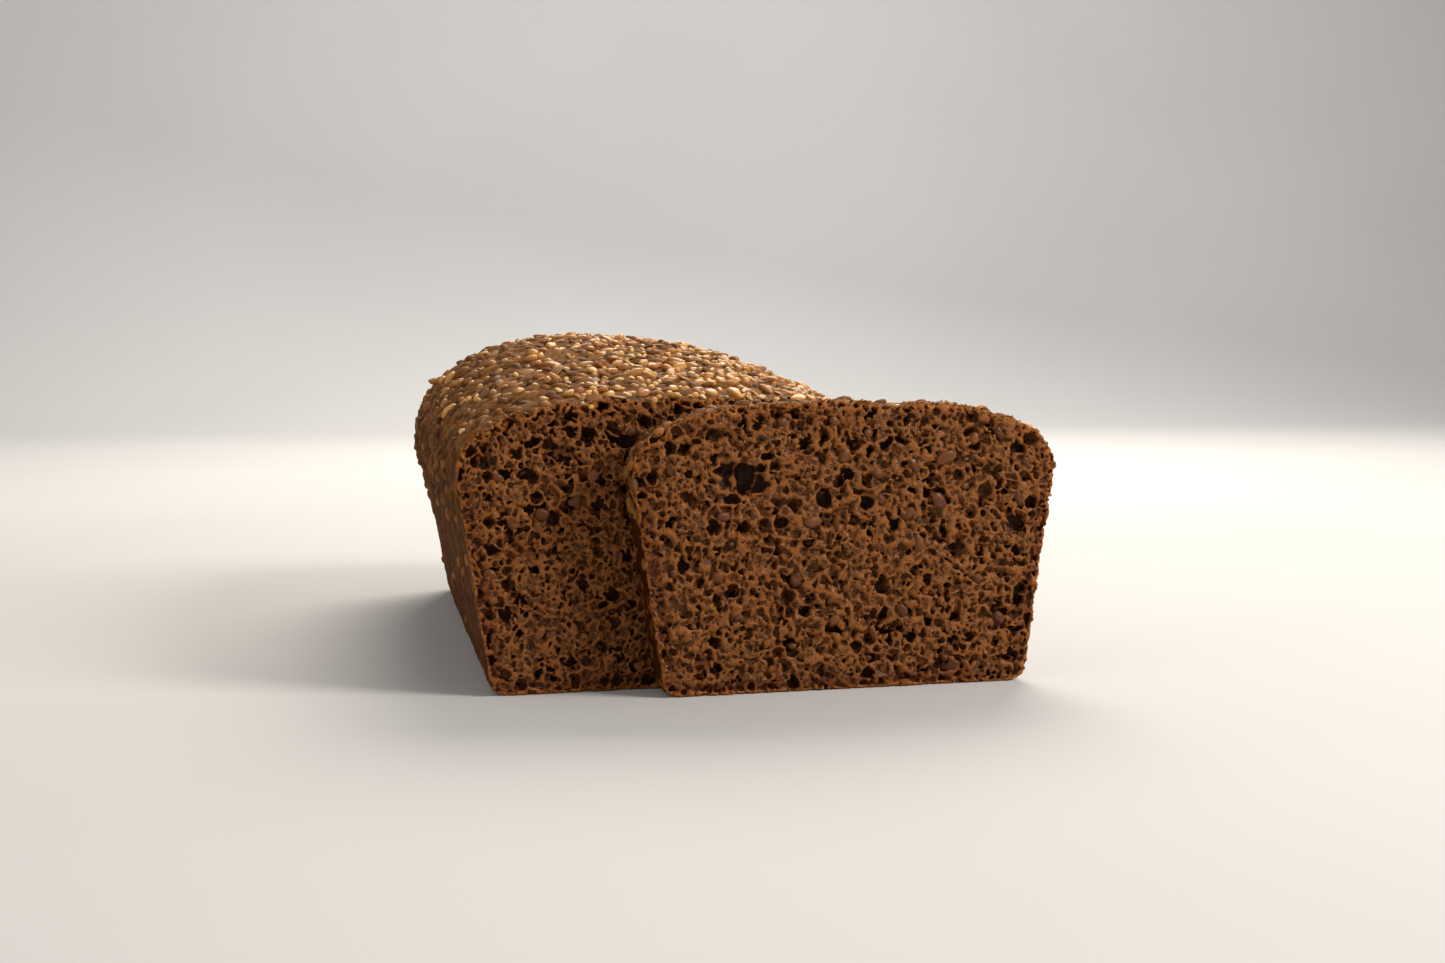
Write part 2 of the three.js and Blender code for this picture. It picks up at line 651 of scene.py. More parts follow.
    def layer(self, graph: Graph, place: Field, depth: Field, from_skin: Field, pores: Pores) -> Field:
        """The air of one size class of pores, positive inside a pore.

        Args:
            graph: the graph to build in.
            place: where each point is in the pattern.
            depth: how far behind the cut it is.
            from_skin: how far each point is from the crust.
            pores: the size class.

        Returns:
            The result for each point.
        """
        wander = graph.wander(place, self.bend_size, self.bend)
        tear = graph.wander(place, self.tear_size, self.tear)
        bent = graph.vector("ADD", graph.vector("ADD", place, wander), tear)
        bent = graph.vector("ADD", bent, (pores.seed, pores.seed * 1.7, pores.seed * 0.3))
        nearest = graph.cells(bent, pores.spacing)
        edge = graph.cells(bent, pores.spacing, "DISTANCE_TO_EDGE")
        chance, size, _ = graph.parts(graph.out(nearest, "Color"))
        in_bread = graph.ramp(from_skin, 0.25 * self.rind, self.rind, 0.25, 1.0)
        shallow = graph.ramp(depth, self.reach - 2.0 * MM, self.reach - 0.6 * MM, 1.0, 0.0)
        radius = (size * (pores.largest - pores.smallest) + pores.smallest) * in_bread * shallow
        ball = radius - graph.out(nearest, "Distance") * pores.spacing
        within = graph.out(edge, "Distance") * pores.spacing - pores.wall / 2
        pore = graph.math("SMOOTH_MIN", ball, within, self.rounding)
        missing = graph.math("GREATER_THAN", chance, pores.share)
        return pore - missing * self.nowhere

    def surface(self, graph: Graph, air: Field, cut: Cut) -> Field:
        """Draws the surface of the air inside a box round the cut.

        Args:
            graph: the graph to build in.
            air: positive in the air.
            cut: the cut face.

        Returns:
            The surface, as a mesh of even grain.
        """
        voxel = self.voxel * 1.0
        low = (-cut.width / 2 - self.margin, -self.front, -self.margin)
        high = (cut.width / 2 + self.margin, self.reach, cut.height + self.margin)
        counts = [max(4, round((top - bottom) / voxel)) for bottom, top in zip(low, high)]
        density = graph.math("MULTIPLY_ADD", air, 0.25 / voxel, 0.5)
        density = graph.math("MINIMUM", graph.math("MAXIMUM", density, 0.0), 1.0)
        inputs = {"Density": density, "Min": low, "Max": high}
        inputs.update(zip(("Resolution X", "Resolution Y", "Resolution Z"), counts))
        volume = graph.out(graph.node("GeometryNodeVolumeCube", inputs))
        edge = {"Volume": volume, "Threshold": 0.5, "Adaptivity": 0.0}
        return graph.out(graph.node("GeometryNodeVolumeToMesh", edge))


# ---------------------------------------------------------------------------------------------------
# Crust
# ---------------------------------------------------------------------------------------------------


@dataclass
class Crust:
    """The baked skin: lumpy and seeded on top, drier and streaked where it met the tin."""

    voxel: float
    swell: float = 1.3 * MM  # broad unevenness
    swell_size: float = 24 * MM
    lump: float = 1.0 * MM  # grains under the skin of the top
    lump_size: float = 5.2 * MM
    wrinkle: float = 0.9 * MM
    wrinkle_size: float = 6.5 * MM
    knob: float = 0.9 * MM  # grains under the skin of the shoulders
    knob_size: float = 4.6 * MM
    streak: float = 0.35 * MM  # drawn up the tin's walls
    streak_width: float = 2.6 * MM
    pit: float = 0.8 * MM
    pit_size: float = 3.6 * MM
    rag: float = 0.5 * MM  # small torn unevenness all over
    rag_size: float = 3.0 * MM
    dent: float = 0.5 * MM  # depth of the base's unevenness
    dent_size: float = 5 * MM
    bend: float = 1.2 * MM  # how far the patterns are pulled out of shape
    bend_size: float = 9 * MM
    shoulder: tuple[float, float] = (36 * MM, 56 * MM)  # heights between which the wall turns knobbly
    quick_voxel: float = 1.6

    def body(self, node: str, cuts: Sequence[Cut], extra: float) -> bpy.types.Mesh:
        """Makes the bread with its crust finished and its cuts still plain.

        Args:
            node: the CAD node that gives the shape.
            cuts: the knife's faces.
            extra: how far the bread is carried on past each cut, to be taken off with the air.

        Returns:
            A closed mesh.
        """
        mesh = merged_copy(node)
        for cut in cuts:
            carry_on(mesh, cut, extra)
        holder = new_object("body", mesh)
        remesh = holder.modifiers.new("remesh", "REMESH")
        remesh.mode = "VOXEL"
        remesh.voxel_size = self.voxel * 1.0
        soften = holder.modifiers.new("soften", "SMOOTH")
        soften.iterations = 4
        soften.factor = 0.5
        plain = evaluated(holder, "body")
        drop(holder)
        graph = Graph.of_geometry("crust")
        entry = graph.out(graph.node("NodeGroupInput"))
        return through(plain, graph, self.risen(graph, entry, cuts), "body")

    def risen(self, graph: Graph, geometry: Field, cuts: Sequence[Cut]) -> Field:
        """Moves the plain surface out and in to make the crust, and leaves the cuts as they are.

        Args:
            graph: the graph to build in.
            geometry: the plain surface.
            cuts: the knife's faces.

        Returns:
            The finished surface.
        """
        place = graph.position()
        normal = graph.normal()
        facing_up = graph.parts(normal)[2]
        top = graph.ramp(facing_up, 0.05, 0.55)
        under = graph.ramp(facing_up, -0.5, -0.9)
        side = (1.0 - top) * (1.0 - under)
        bent = graph.vector("ADD", place, graph.wander(place, self.bend_size, self.bend))
        rise = self.broad(graph, place, top) + self.topping_bed(graph, bent, top)
        rise = rise + self.walls(graph, bent, graph.parts(place)[2], side)
        rise = rise * (1.0 - under) - graph.noise(bent, self.dent_size, 3.0) * self.dent * under
        ragged = graph.noise(bent, self.rag_size, 4.0, 0.8) - 0.5
        rise = rise + ragged * (2.0 * self.rag) * (1.0 - under)
        for cut in cuts:
            facing = graph.vector("DOT_PRODUCT", normal, tuple(-cut.inward))
            rise = rise * graph.ramp(facing, 0.85, 0.45)
        moved = graph.vector("ADD", place, graph.vector("SCALE", normal, scale=rise))
        east, north, up = graph.parts(moved)
        joined = graph.node("ShaderNodeCombineXYZ", {0: east, 1: north, 2: graph.math("MAXIMUM", up, 0.0)})
        node = graph.node("GeometryNodeSetPosition", {"Geometry": geometry, "Position": graph.out(joined)})
        return graph.out(node)

    def broad(self, graph: Graph, place: Field, top: Field) -> Field:
        """The slow unevenness of hand-filled dough."""
        return (graph.noise(place, self.swell_size, 1.0) - 0.5) * self.swell * (top * 0.7 + 0.6)

    def topping_bed(self, graph: Graph, place: Field, top: Field) -> Field:
        """Grains that lie under the skin of the top, and the wrinkles between them.

        Args:
            graph: the graph to build in.
            place: where each point is.
            top: 1 on the top and 0 on the walls.

        Returns:
            How far the surface rises.
        """
        cells = graph.cells(place, self.lump_size, "SMOOTH_F1")
        mound = graph.ramp(graph.out(cells, "Distance"), 0.75, 0.1) * self.lump
        crease = graph.math("ABSOLUTE", graph.noise(place, self.wrinkle_size, 3.0, 0.7) - 0.5)
        return (mound - graph.ramp(crease, 0.10, 0.0) * self.wrinkle * 0.6) * top

    def walls(self, graph: Graph, place: Field, height: Field, side: Field) -> Field:
        """Streaks, knobs and pits of the walls.

        Args:
            graph: the graph to build in.
            place: where each point is.
            height: above the base.
            side: 1 on the walls and 0 elsewhere.

        Returns:
            How far the surface rises.
        """
        narrow = 1.0 / self.streak_width
        drawn = graph.vector("MULTIPLY", place, (narrow, narrow, narrow * 0.08))
        streak = (graph.noise(drawn, 1.0, 2.0) - 0.5) * (2.0 * self.streak)
        knobbly = graph.ramp(height, *self.shoulder)
        knob = graph.ramp(graph.out(graph.cells(place, self.knob_size)), 0.62, 0.1) * self.knob * knobbly
        pits = graph.cells(place, self.pit_size)
        chance = graph.parts(graph.out(pits, "Color"))[0]
        pit = graph.ramp(graph.out(pits, "Distance"), 0.34, 0.12) * graph.ramp(chance, 0.60, 0.62)
        return (streak + knob - pit * self.pit) * side


def merged_copy(node: str) -> bpy.types.Mesh:
    """A copy of a CAD node's mesh with its loose triangles joined.

    Args:
        node: the node's name.

    Returns:
        A closed mesh.
    """
    work = bmesh.new()
    work.from_mesh(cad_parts[node].data)
    bmesh.ops.remove_doubles(work, verts=work.verts, dist=0.01 * MM)
    return to_mesh(work, node)


def carry_on(mesh: bpy.types.Mesh, cut: Cut, extra: float) -> None:
    """Carries the bread on past a cut, square to it.

    Args:
        mesh: is changed in place.
        cut: the cut face.
        extra: how far.
    """
    work = bmesh.new()
    work.from_mesh(mesh)
    rim = [vertex for vertex in work.verts if abs(cut.depth(vertex.co)) < 0.02 * MM]
    bmesh.ops.translate(work, verts=rim, vec=-cut.inward * extra)
    work.to_mesh(mesh)
    work.free()


def without_cuts(body: bpy.types.Mesh, cuts: Sequence[Cut], extra: float) -> bpy.types.Mesh:
    """The crust of a body as an open surface, with the faces that stand past its cuts taken off.

    Args:
        body: a closed mesh, carried on past its cuts.
        cuts: the knife's faces.
        extra: how far it is carried on.

    Returns:
        The crust alone.
    """
    work = bmesh.new()
    work.from_mesh(body)
    ends = []
    for face in work.faces:
        middle = face.calc_center_median()
        for cut in cuts:
            if cut.depth(middle) < -0.45 * extra and face.normal.dot(cut.inward) < -0.6:
                ends.append(face)
                break
    bmesh.ops.delete(work, geom=ends, context="FACES")
    return to_mesh(work, "skin")


# ---------------------------------------------------------------------------------------------------
# Bread: a body with the air of its cuts taken out
# ---------------------------------------------------------------------------------------------------


@dataclass
class Bread:
    """One piece of bread, from its CAD node and its cuts."""

    node: str
    crust: Crust
    cuts: tuple[Cut, ...]
    extra: float = 1.3 * MM
    skin: Optional[bpy.types.Mesh] = None
    body: Optional[bpy.types.Mesh] = None

    def prepare(self) -> None:
        """Makes the crusted body and its skin."""
        self.body = self.crust.body(self.node, self.cuts, self.extra)
        self.skin = without_cuts(self.body, self.cuts, self.extra)

    def opened(self, airs: Sequence[bpy.types.Mesh]) -> bpy.types.Object:
        """Takes the air out of the body and thins the mesh.

        Args:
            airs: a closed mesh of air for each cut, in that cut's own axes.

        Returns:
            The piece, with its measures stored on its vertices.
        """
        holder = new_object("bread", self.body.copy())
        tools = [placed_air(cut, air) for cut, air in zip(self.cuts, airs)]
        for tool in tools:
            remove = holder.modifiers.new("air", "BOOLEAN")
            remove.operation = "DIFFERENCE"
            remove.solver = "MANIFOLD"
            remove.object = tool
        opened = evaluated(holder, "bread")
        drop(holder, *tools)
        log.info("%s: %d triangles before thinning", self.node, triangles(opened))
        piece = new_object(f"rye_{self.node}", self.measured(thinned(opened)))
        piece.data.name = piece.name
        smooth(piece.data)
        return piece

    def measured(self, mesh: bpy.types.Mesh) -> bpy.types.Mesh:
        """Stores what the finishes read: distance from the skin, depth behind the cuts, and ridges.

        Args:
            mesh: the opened bread, which is used up.

        Returns:
            The mesh that carries them.
        """
        skin_object = new_object("skin_to_measure", self.skin.copy())
        graph = Graph.of_geometry("measures")
        place = graph.position()
        normal = graph.normal()
        depth = None
        for cut in self.cuts:
            offset = graph.vector("SUBTRACT", place, tuple(cut.middle))
            behind = graph.vector("DOT_PRODUCT", offset, tuple(cut.inward))
            depth = behind if depth is None else graph.math("MINIMUM", depth, behind)
        geometry = largest(graph, graph.out(graph.node("NodeGroupInput")))
        values = {
            "rind": graph.distance_to(skin_object, place),
            "depth": depth,
            "ridge": self.ridge(graph, place, normal),
        }
        for name, value in values.items():
            store = graph.node("GeometryNodeStoreNamedAttribute", data_type="FLOAT", domain="POINT")
            for key, item in (("Geometry", geometry), ("Name", name), ("Value", value)):
                graph.feed(store.inputs[key], item)
            geometry = graph.out(store)
        result = through(mesh, graph, geometry, "bread")
        drop(skin_object)
        return result

    def ridge(self, graph: Graph, place: Field, normal: Field) -> Field:
        """How far each point stands out of its surroundings, in metres.

        Args:
            graph: the graph to build in.
            place: where each point is.
            normal: the way that it faces.

        Returns:
            The result for each point.
        """
        blur = graph.node("GeometryNodeBlurAttribute", data_type="FLOAT_VECTOR")
        vector_input = next(s for s in blur.inputs if s.type == "VECTOR")
        graph.feed(vector_input, place)
        graph.feed(blur.inputs["Iterations"], 3)
        vector_output = next(s for s in blur.outputs if s.type == "VECTOR")
        lifted = graph.vector("SUBTRACT", place, Field(graph, vector_output))
        return graph.vector("DOT_PRODUCT", lifted, normal)


def placed_air(cut: Cut, air: bpy.types.Mesh) -> bpy.types.Object:
    """Brings the air of a cut to its place, with its faces still pointing out.

    Args:
        cut: the cut face.
        air: in the cut's own axes.

    Returns:
        A helper object.
    """
    placed = air.copy()
    placed.transform(cut.matrix())
    if cut.is_mirrored():
        placed.flip_normals()
    return new_object("air", placed)


def thinned(mesh: bpy.types.Mesh) -> bpy.types.Mesh:
    """Thins a mesh to at most MOST_TRIANGLES triangles, and mends it. The mesh that goes in is used up.

    Args:
        mesh: the mesh.

    Returns:
        The thinner mesh.
    """
    share = MOST_TRIANGLES / triangles(mesh)
    holder = new_object("bread", mesh)
    thin = holder.modifiers.new("thin", "DECIMATE")
    thin.ratio = min(1.0, share)
    result = evaluated(holder, "bread")
    drop(holder)
    mend(result)
    return result


# ---------------------------------------------------------------------------------------------------
# Finishes
# ---------------------------------------------------------------------------------------------------


def new_material(name: str) -> tuple[bpy.types.Material, Graph, bpy.types.Node]:
    """Starts a material, and returns it with its graph and its shader.

    Args:
        name: of the material.

    Returns:
        The material, its graph and its shader.
    """
    material = bpy.data.materials.new(name)
    material.use_nodes = True
    graph = Graph(material.node_tree)
    return material, graph, material.node_tree.nodes["Principled BSDF"]


def own_place(graph: Graph) -> Field:
    """The point's place on its own object."""
    return graph.out(graph.node("ShaderNodeTexCoord"), "Object")


def roughened(graph: Graph, shader: bpy.types.Node, height: Field, distance: float, strength: float) -> None:
    """Gives a shader a bump from a height."""
    bump = graph.node("ShaderNodeBump", {"Height": height, "Distance": distance, "Strength": strength})
    graph.feed(shader.inputs["Normal"], graph.out(bump))


def uneven_gloss(graph: Graph, size: float, low: float, high: float) -> Field:
    """A roughness that drifts between two values over patches of a size."""
    patches = graph.noise(own_place(graph), size, 2.0)
    return graph.ramp(patches, 0.3, 0.7, low, high)


@dataclass(frozen=True)
class CrumbFinish:
    """Moist dark crumb: painted highlight along the torn ridges, painted shade near black in the pores and
    sunk cells, orange-brown at the rind.
    """

    # deep: the near black that the pores turn with their depth behind the cut: painted shade
    deep: Colour = (0.013, 0.0035, 0.0007)
    body: Colour = (0.093, 0.0225, 0.0034)
    grey: Colour = (0.082, 0.0285, 0.0085)
    # ridge: laid along the lattice's edges and on whatever stands out: painted highlight
    ridge: Colour = (0.310, 0.104, 0.021)
    speck: Colour = (0.55, 0.29, 0.11)
    rind_pale: Colour = (0.400, 0.130, 0.020)
    rind_deep: Colour = (0.110, 0.025, 0.0028)
    # Painted highlight: the rind is paler where it stands out, by this much for each metre.
    rind_painted_highlight: float = 800.0  # how much paler the rind is where it stands out, for each metre
    baked: Colour = (0.52, 0.37, 0.29)  # what is left of each colour next to the tin
    baked_reach: float = 5.2 * MM
    tin_rim: float = 58.0 * MM  # above it the dough rose free of the tin, and baked less dark
    cell: float = 1.5 * MM  # of the finest torn lattice
    roughness: float = 0.42
    shine: float = 0.18

    def material(self) -> bpy.types.Material:
        """Builds the material.

        Returns:
            The material.
        """
        material, graph, shader = new_material("crumb")
        place = own_place(graph)
        coarse, sunk = self.lattice(graph, place, self.cell)
        fine, _ = self.lattice(graph, place, self.cell * 0.55)
        edges = graph.math("MAXIMUM", coarse, fine * 0.6)
        tone = self.inner(graph, place, edges, sunk)
        graph.feed(shader.inputs["Base Color"], self.baked_tone(graph, place, tone))
        patches = graph.noise(place, 2.2 * MM, 2.0)
        gloss = graph.ramp(patches, 0.35, 0.7, self.roughness - 0.14, self.roughness + 0.16)
        graph.feed(shader.inputs["Roughness"], gloss)
        grain = graph.noise(place, 0.45 * MM, 3.0) * 0.5 + edges - sunk * 0.6
        roughened(graph, shader, grain, 0.16 * MM, 0.8)
        shader.inputs["Specular IOR Level"].default_value = self.shine
        return material

    def inner(self, graph: Graph, place: Field, edges: Field, sunk: Field) -> Field:
        """Colour of the crumb away from the crust: mottled, with painted shade in its pores and sunk cells
        and painted highlight on its ridges.

        Args:
            graph: the graph to build in.
            place: where each point is.
            edges: 1 along the edges of the torn lattice.
            sunk: how sunk its cells are.

        Returns:
            The colour.
        """
        tone = graph.mix(graph.ramp(graph.noise(place, 9 * MM, 3.0), 0.40, 0.60), self.body, self.grey)
        mottled = graph.ramp(graph.noise(place, 1.3 * MM, 3.0), 0.25, 0.75, 0.72, 1.25)
        # Painted shade: sunk cells of the lattice are darker; the mottle is the crumb's own uneven tone.
        shade = mottled * (1.0 - sunk * 0.45)
        tone = graph.mix(1.0, tone, self.grey_of(graph, shade), "MULTIPLY")
        # Painted shade: the pores darken to near black with their depth behind the cut.
        pit = graph.ramp(graph.attribute("depth"), 0.6 * MM, 3.6 * MM)
        # Painted highlight: the edges of the torn lattice turn paler.
        tone = graph.mix(edges * 0.5, tone, self.ridge)
        tone = graph.mix(pit * 0.85, tone, self.deep)
        # Painted highlight: whatever stands out of the surface turns paler still.
        torn = graph.ramp(graph.attribute("ridge"), 0.02 * MM, 0.22 * MM)
        tone = graph.mix(torn * 0.75, tone, self.ridge)
        return graph.mix(self.specks(graph, place) * (1.0 - pit), tone, self.speck)

    def baked_tone(self, graph: Graph, place: Field, tone: Field) -> Field:
        """A colour of the crumb as the oven left it: darker next to the tin, and toasted at the rind, with a
        painted highlight where the rind stands out.

        Args:
            graph: the graph to build in.
            place: where each point is.
            tone: the colour before.

        Returns:
            The colour after.
        """
        ragged = graph.attribute("rind") + (graph.noise(place, 2 * MM, 2.0) - 0.5) * (2.4 * MM)
        in_tin = graph.ramp(graph.parts(place)[2], self.tin_rim + 6 * MM, self.tin_rim - 8 * MM)
        near_tin = graph.ramp(ragged, self.baked_reach, 1.0 * MM) * (0.4 + in_tin * 0.6)
        tone = graph.mix(near_tin, tone, self.baked, "MULTIPLY")
        rind = graph.ramp(ragged, 2.5 * MM, 0.5 * MM)
        patch = graph.noise(place, 2.6 * MM, 3.0) - in_tin * 0.10
        # Painted highlight: the rind turns paler where it stands out; the noise patches are its own toasting.
        toasted = graph.ramp(patch + graph.attribute("ridge") * self.rind_painted_highlight, 0.42, 0.66)
        return graph.mix(rind * 0.85, tone, graph.mix(toasted, self.rind_deep, self.rind_pale))

    def specks(self, graph: Graph, place: Field) -> Field:
        """Sparse bright specks of bran.

        Args:
            graph: the graph to build in.
            place: where each point is.

        Returns:
            1 on a speck and 0 elsewhere.
        """
        cells = graph.cells(place, self.cell * 1.2)
        chance = graph.parts(graph.out(cells, "Color"))[2]
        return graph.ramp(graph.out(cells, "Distance"), 0.13, 0.07) * graph.ramp(chance, 0.72, 0.76)

    def lattice(self, graph: Graph, place: Field, size: float) -> tuple[Field, Field]:
        """Small torn cells: how near a point is to an edge of one, and how far that cell has sunk.

        Args:
            graph: the graph to build in.
            place: where each point is.
            size: of the cells.

        Returns:
            Both, from 0 to 1.
        """
        bent = graph.vector("ADD", place, graph.wander(place, 1.3 * size, 0.4 * size))
        edge = graph.out(graph.cells(bent, size, "DISTANCE_TO_EDGE"), "Distance")
        chance = graph.parts(graph.out(graph.cells(bent, size), "Color"))[1]
        return graph.ramp(edge, 0.15, 0.02), graph.ramp(edge, 0.04, 0.22) * chance

    def grey_of(self, graph: Graph, value: Field) -> Field:
        """A grey colour from a number."""
        return graph.out(graph.node("ShaderNodeCombineColor", {0: value, 1: value, 2: value}))


@dataclass(frozen=True)
class CrustFinish:
    """Dull baked crust with a floury bloom on top and darker, streaked walls; painted shade in its dips and a
    painted highlight, in patches, where it stands out.
    """

    name: str
    # dark: laid into the crust's dips and creases: painted shade
    dark: Colour = (0.034, 0.011, 0.0025)
    brown: Colour = (0.135, 0.050, 0.011)
    flour: Colour = (0.280, 0.130, 0.040)
    # toasted: laid in patches where the crust stands out: painted highlight
    toasted: Colour = (0.300, 0.100, 0.017)
    wall: Colour = (0.082, 0.028, 0.0055)
    wall_pale: Colour = (0.165, 0.064, 0.0135)
    roughness: float = 0.78
    shine: float = 0.04

    def material(self) -> bpy.types.Material:
        """Builds the material.

        Returns:
            The material.
        """
        material, graph, shader = new_material(self.name)
        place = own_place(graph)
        normal = graph.out(graph.node("ShaderNodeTexCoord"), "Normal")
        top = graph.ramp(graph.parts(normal)[2], 0.0, 0.6)
        ridge = graph.attribute("ridge")
        colour = graph.mix(top, self.walls(graph, place), self.tops(graph, place))
        # Painted shade: the crust turns dark in its dips and creases.
        colour = graph.mix(graph.ramp(ridge, -0.02 * MM, -0.16 * MM) * 0.7, colour, self.dark)
        # Painted highlight: in patches, the crust turns paler where it stands out.
        patches = graph.ramp(graph.noise(place, 5 * MM, 1.0), 0.45, 0.6)
        knobs = graph.ramp(ridge, 0.05 * MM, 0.20 * MM) * patches
        colour = graph.mix(knobs * 0.6, colour, self.toasted)
        graph.feed(shader.inputs["Base Color"], colour)
        rough = uneven_gloss(graph, 3 * MM, self.roughness - 0.12, self.roughness + 0.12)
        graph.feed(shader.inputs["Roughness"], rough)
        roughened(graph, shader, graph.noise(place, 1.0 * MM, 5.0), 0.5 * MM, 0.6)
        shader.inputs["Specular IOR Level"].default_value = self.shine
        return material

    def walls(self, graph: Graph, place: Field) -> Field:
        """Colour of the walls: darker, with pale streaks drawn upwards.

        Args:
            graph: the graph to build in.
            place: where each point is.

        Returns:
            The colour.
        """
        drawn = graph.vector("MULTIPLY", place, (1.0, 1.0, 0.12))
        streak = graph.ramp(graph.noise(drawn, 2.4 * MM, 4.0), 0.42, 0.72)
        patch = graph.ramp(graph.noise(place, 16 * MM, 3.0), 0.35, 0.7)
        return graph.mix(streak * (0.35 + patch * 0.5), self.wall, self.wall_pale)

    def tops(self, graph: Graph, place: Field) -> Field:
        """Colour of the top: brown with a floury bloom."""
        flour = graph.ramp(graph.noise(place, 6 * MM, 5.0), 0.40, 0.66)
        return graph.mix(flour * 0.75, self.brown, self.flour)


@dataclass(frozen=True)
class SeedFinish:
    """A seed, grain or flake: a colour of its own for each, a little darker where it is toasted."""

    name: str
    pale: Colour
    deep: Colour
    toasted: Colour
    roughness: float
    fleck: float  # size of the toasted patches
    shine: float = 0.28

    def material(self) -> bpy.types.Material:
        """Builds the material.

        Returns:
            The material.
        """
        material, graph, shader = new_material(self.name)
        place = own_place(graph)
        own = graph.out(graph.node("ShaderNodeNewGeometry"), "Random Per Island")
        colour = graph.mix(own, self.pale, self.deep)
        patch = graph.ramp(graph.noise(place, self.fleck, 3.0), 0.5, 0.72)
        darker = graph.ramp(graph.math("FRACT", own * 7.31), 0.55, 1.0)  # a second draw for each seed
        colour = graph.mix(patch * 0.45 + darker * 0.5, colour, self.toasted)
        graph.feed(shader.inputs["Base Color"], colour)
        rough = uneven_gloss(graph, 1.5 * MM, self.roughness - 0.1, self.roughness + 0.1)
        graph.feed(shader.inputs["Roughness"], rough)
        roughened(graph, shader, graph.noise(place, 0.7 * MM, 3.0), 0.12 * MM, 0.5)
        shader.inputs["Specular IOR Level"].default_value = self.shine
        return material


class Finish(Enum):
    """The finishes of the seeds and grains."""

    SESAME = SeedFinish(
        name="sesame",
        pale=(0.88, 0.6, 0.25),
        deep=(0.62, 0.31, 0.08),
        toasted=(0.32, 0.11, 0.018),
        roughness=0.45,
        fleck=2.5 * MM,
    )
    WHEAT = SeedFinish(
        name="wheat",
        pale=(0.7, 0.34, 0.075),
        deep=(0.42, 0.15, 0.024),
        toasted=(0.15, 0.047, 0.008),
        roughness=0.42,
        fleck=3.5 * MM,
    )
    MILLET = SeedFinish(
        name="millet",
        pale=(0.76, 0.44, 0.13),
        deep=(0.5, 0.22, 0.045),
        toasted=(0.27, 0.09, 0.016),
        roughness=0.42,
        fleck=2 * MM,
    )
    FLAKE = SeedFinish(
        name="bran",
        pale=(0.38, 0.19, 0.062),
        deep=(0.2, 0.084, 0.021),
        toasted=(0.085, 0.031, 0.007),
        roughness=0.65,
        fleck=2.5 * MM,
    )
    BURIED = SeedFinish(
        name="buried_grain",
        pale=(0.34, 0.13, 0.027),
        deep=(0.13, 0.048, 0.011),
        toasted=(0.06, 0.021, 0.005),
        roughness=0.7,
        fleck=2 * MM,
    )
    SOAKED = SeedFinish(
        name="soaked_rye",
        pale=(0.15, 0.046, 0.01),
        deep=(0.08, 0.021, 0.004),
        toasted=(0.23, 0.078, 0.016),
        roughness=0.42,
        fleck=2 * MM,
    )
    SHRED = SeedFinish(
        name="torn_crust",
        pale=(0.36, 0.13, 0.028),
        deep=(0.15, 0.045, 0.009),
        toasted=(0.06, 0.018, 0.004),
        roughness=0.5,
        fleck=1 * MM,
    )


# ---------------------------------------------------------------------------------------------------
# Seeds and grains
# ---------------------------------------------------------------------------------------------------


def anyhow(chance: random.Random, reach: float) -> Vector:
    """A random vector that reaches no further than that along each axis."""
    return Vector([chance.uniform(-reach, reach) for _ in range(3)])


@dataclass(frozen=True)
class SeedShape:
    """The shape of one kind of seed, a stretched and tapered ball."""

    length: float
    width: float
    thickness: float
    taper: float = 0.0  # how much narrower the tip is than the butt
    crease: float = 0.0  # depth of a furrow along its belly, as a share of the thickness
    crease_half: float = 0.16  # half that furrow's width, as a share of the width
    ripple: float = 0.0  # random unevenness, as a share of the width
    fineness: tuple[int, int] = (8, 5)  # segments round and along

    def mesh(self, chance: random.Random) -> bpy.types.Mesh:
        """Makes one seed, lying along X with its thickness along Z.

        Args:
            chance: where its unevenness comes from.

        Returns:
            A closed mesh round the origin.
        """
        work = bmesh.new()
        around, along = self.fineness
        bmesh.ops.create_uvsphere(work, u_segments=around, v_segments=along, radius=0.5)
        bmesh.ops.rotate(work, verts=work.verts, matrix=Matrix.Rotation(math.pi / 2, 3, "Y"))
        for vertex in work.verts:
            here = vertex.co
            slim = 1.0 - self.taper * (here.x + 0.5)
            furrow = self.crease * max(0.0, 1.0 - abs(here.y) / self.crease_half) * max(0.0, here.z * 2.0)
            here.y *= slim
            here.z *= slim
            here.z -= furrow * 0.5
            here += anyhow(chance, 0.5 * self.ripple)
        bmesh.ops.scale(work, verts=work.verts, vec=(self.length, self.width, self.thickness))
        return to_mesh(work, "seed")


@dataclass
class Scatter:
    """Gathers many copies of a few seed shapes in one mesh."""

    name: str
    finish: Finish
    shapes: tuple[SeedShape, ...]
    slot: str
    variants: int = 5
    work: bmesh.types.BMesh = field(default_factory=bmesh.new)
    models: list[bpy.types.Mesh] = field(default_factory=list)
    count: int = 0

    def prepare(self, chance: random.Random) -> None:
        """Makes the models that are copied."""
        for shape in self.shapes:
            self.models += [shape.mesh(chance) for _ in range(self.variants)]

    def add(self, place: Matrix, chance: random.Random) -> None:
        """Adds one seed at a place.

        Args:
            place: where it goes, and how it is turned and scaled.
            chance: where the random draws come from.
        """
        seed = chance.choice(self.models).copy()
        seed.transform(place)
        self.work.from_mesh(seed)
        bpy.data.meshes.remove(seed)
        self.count += 1

    def piece(self) -> bpy.types.Object:
        """Closes the gathering and makes it a piece of the loaf.

        Returns:
            The piece.
        """
        mesh = to_mesh(self.work, self.name)
        for model in self.models:
            bpy.data.meshes.remove(model)
        smooth(mesh)
        mesh.materials.append(self.finish.value.material())
        piece = new_object(self.name, mesh)
        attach(piece, BODY)
        log.info("%s: %d seeds, %d triangles", self.name, self.count, triangles(mesh))
        return piece


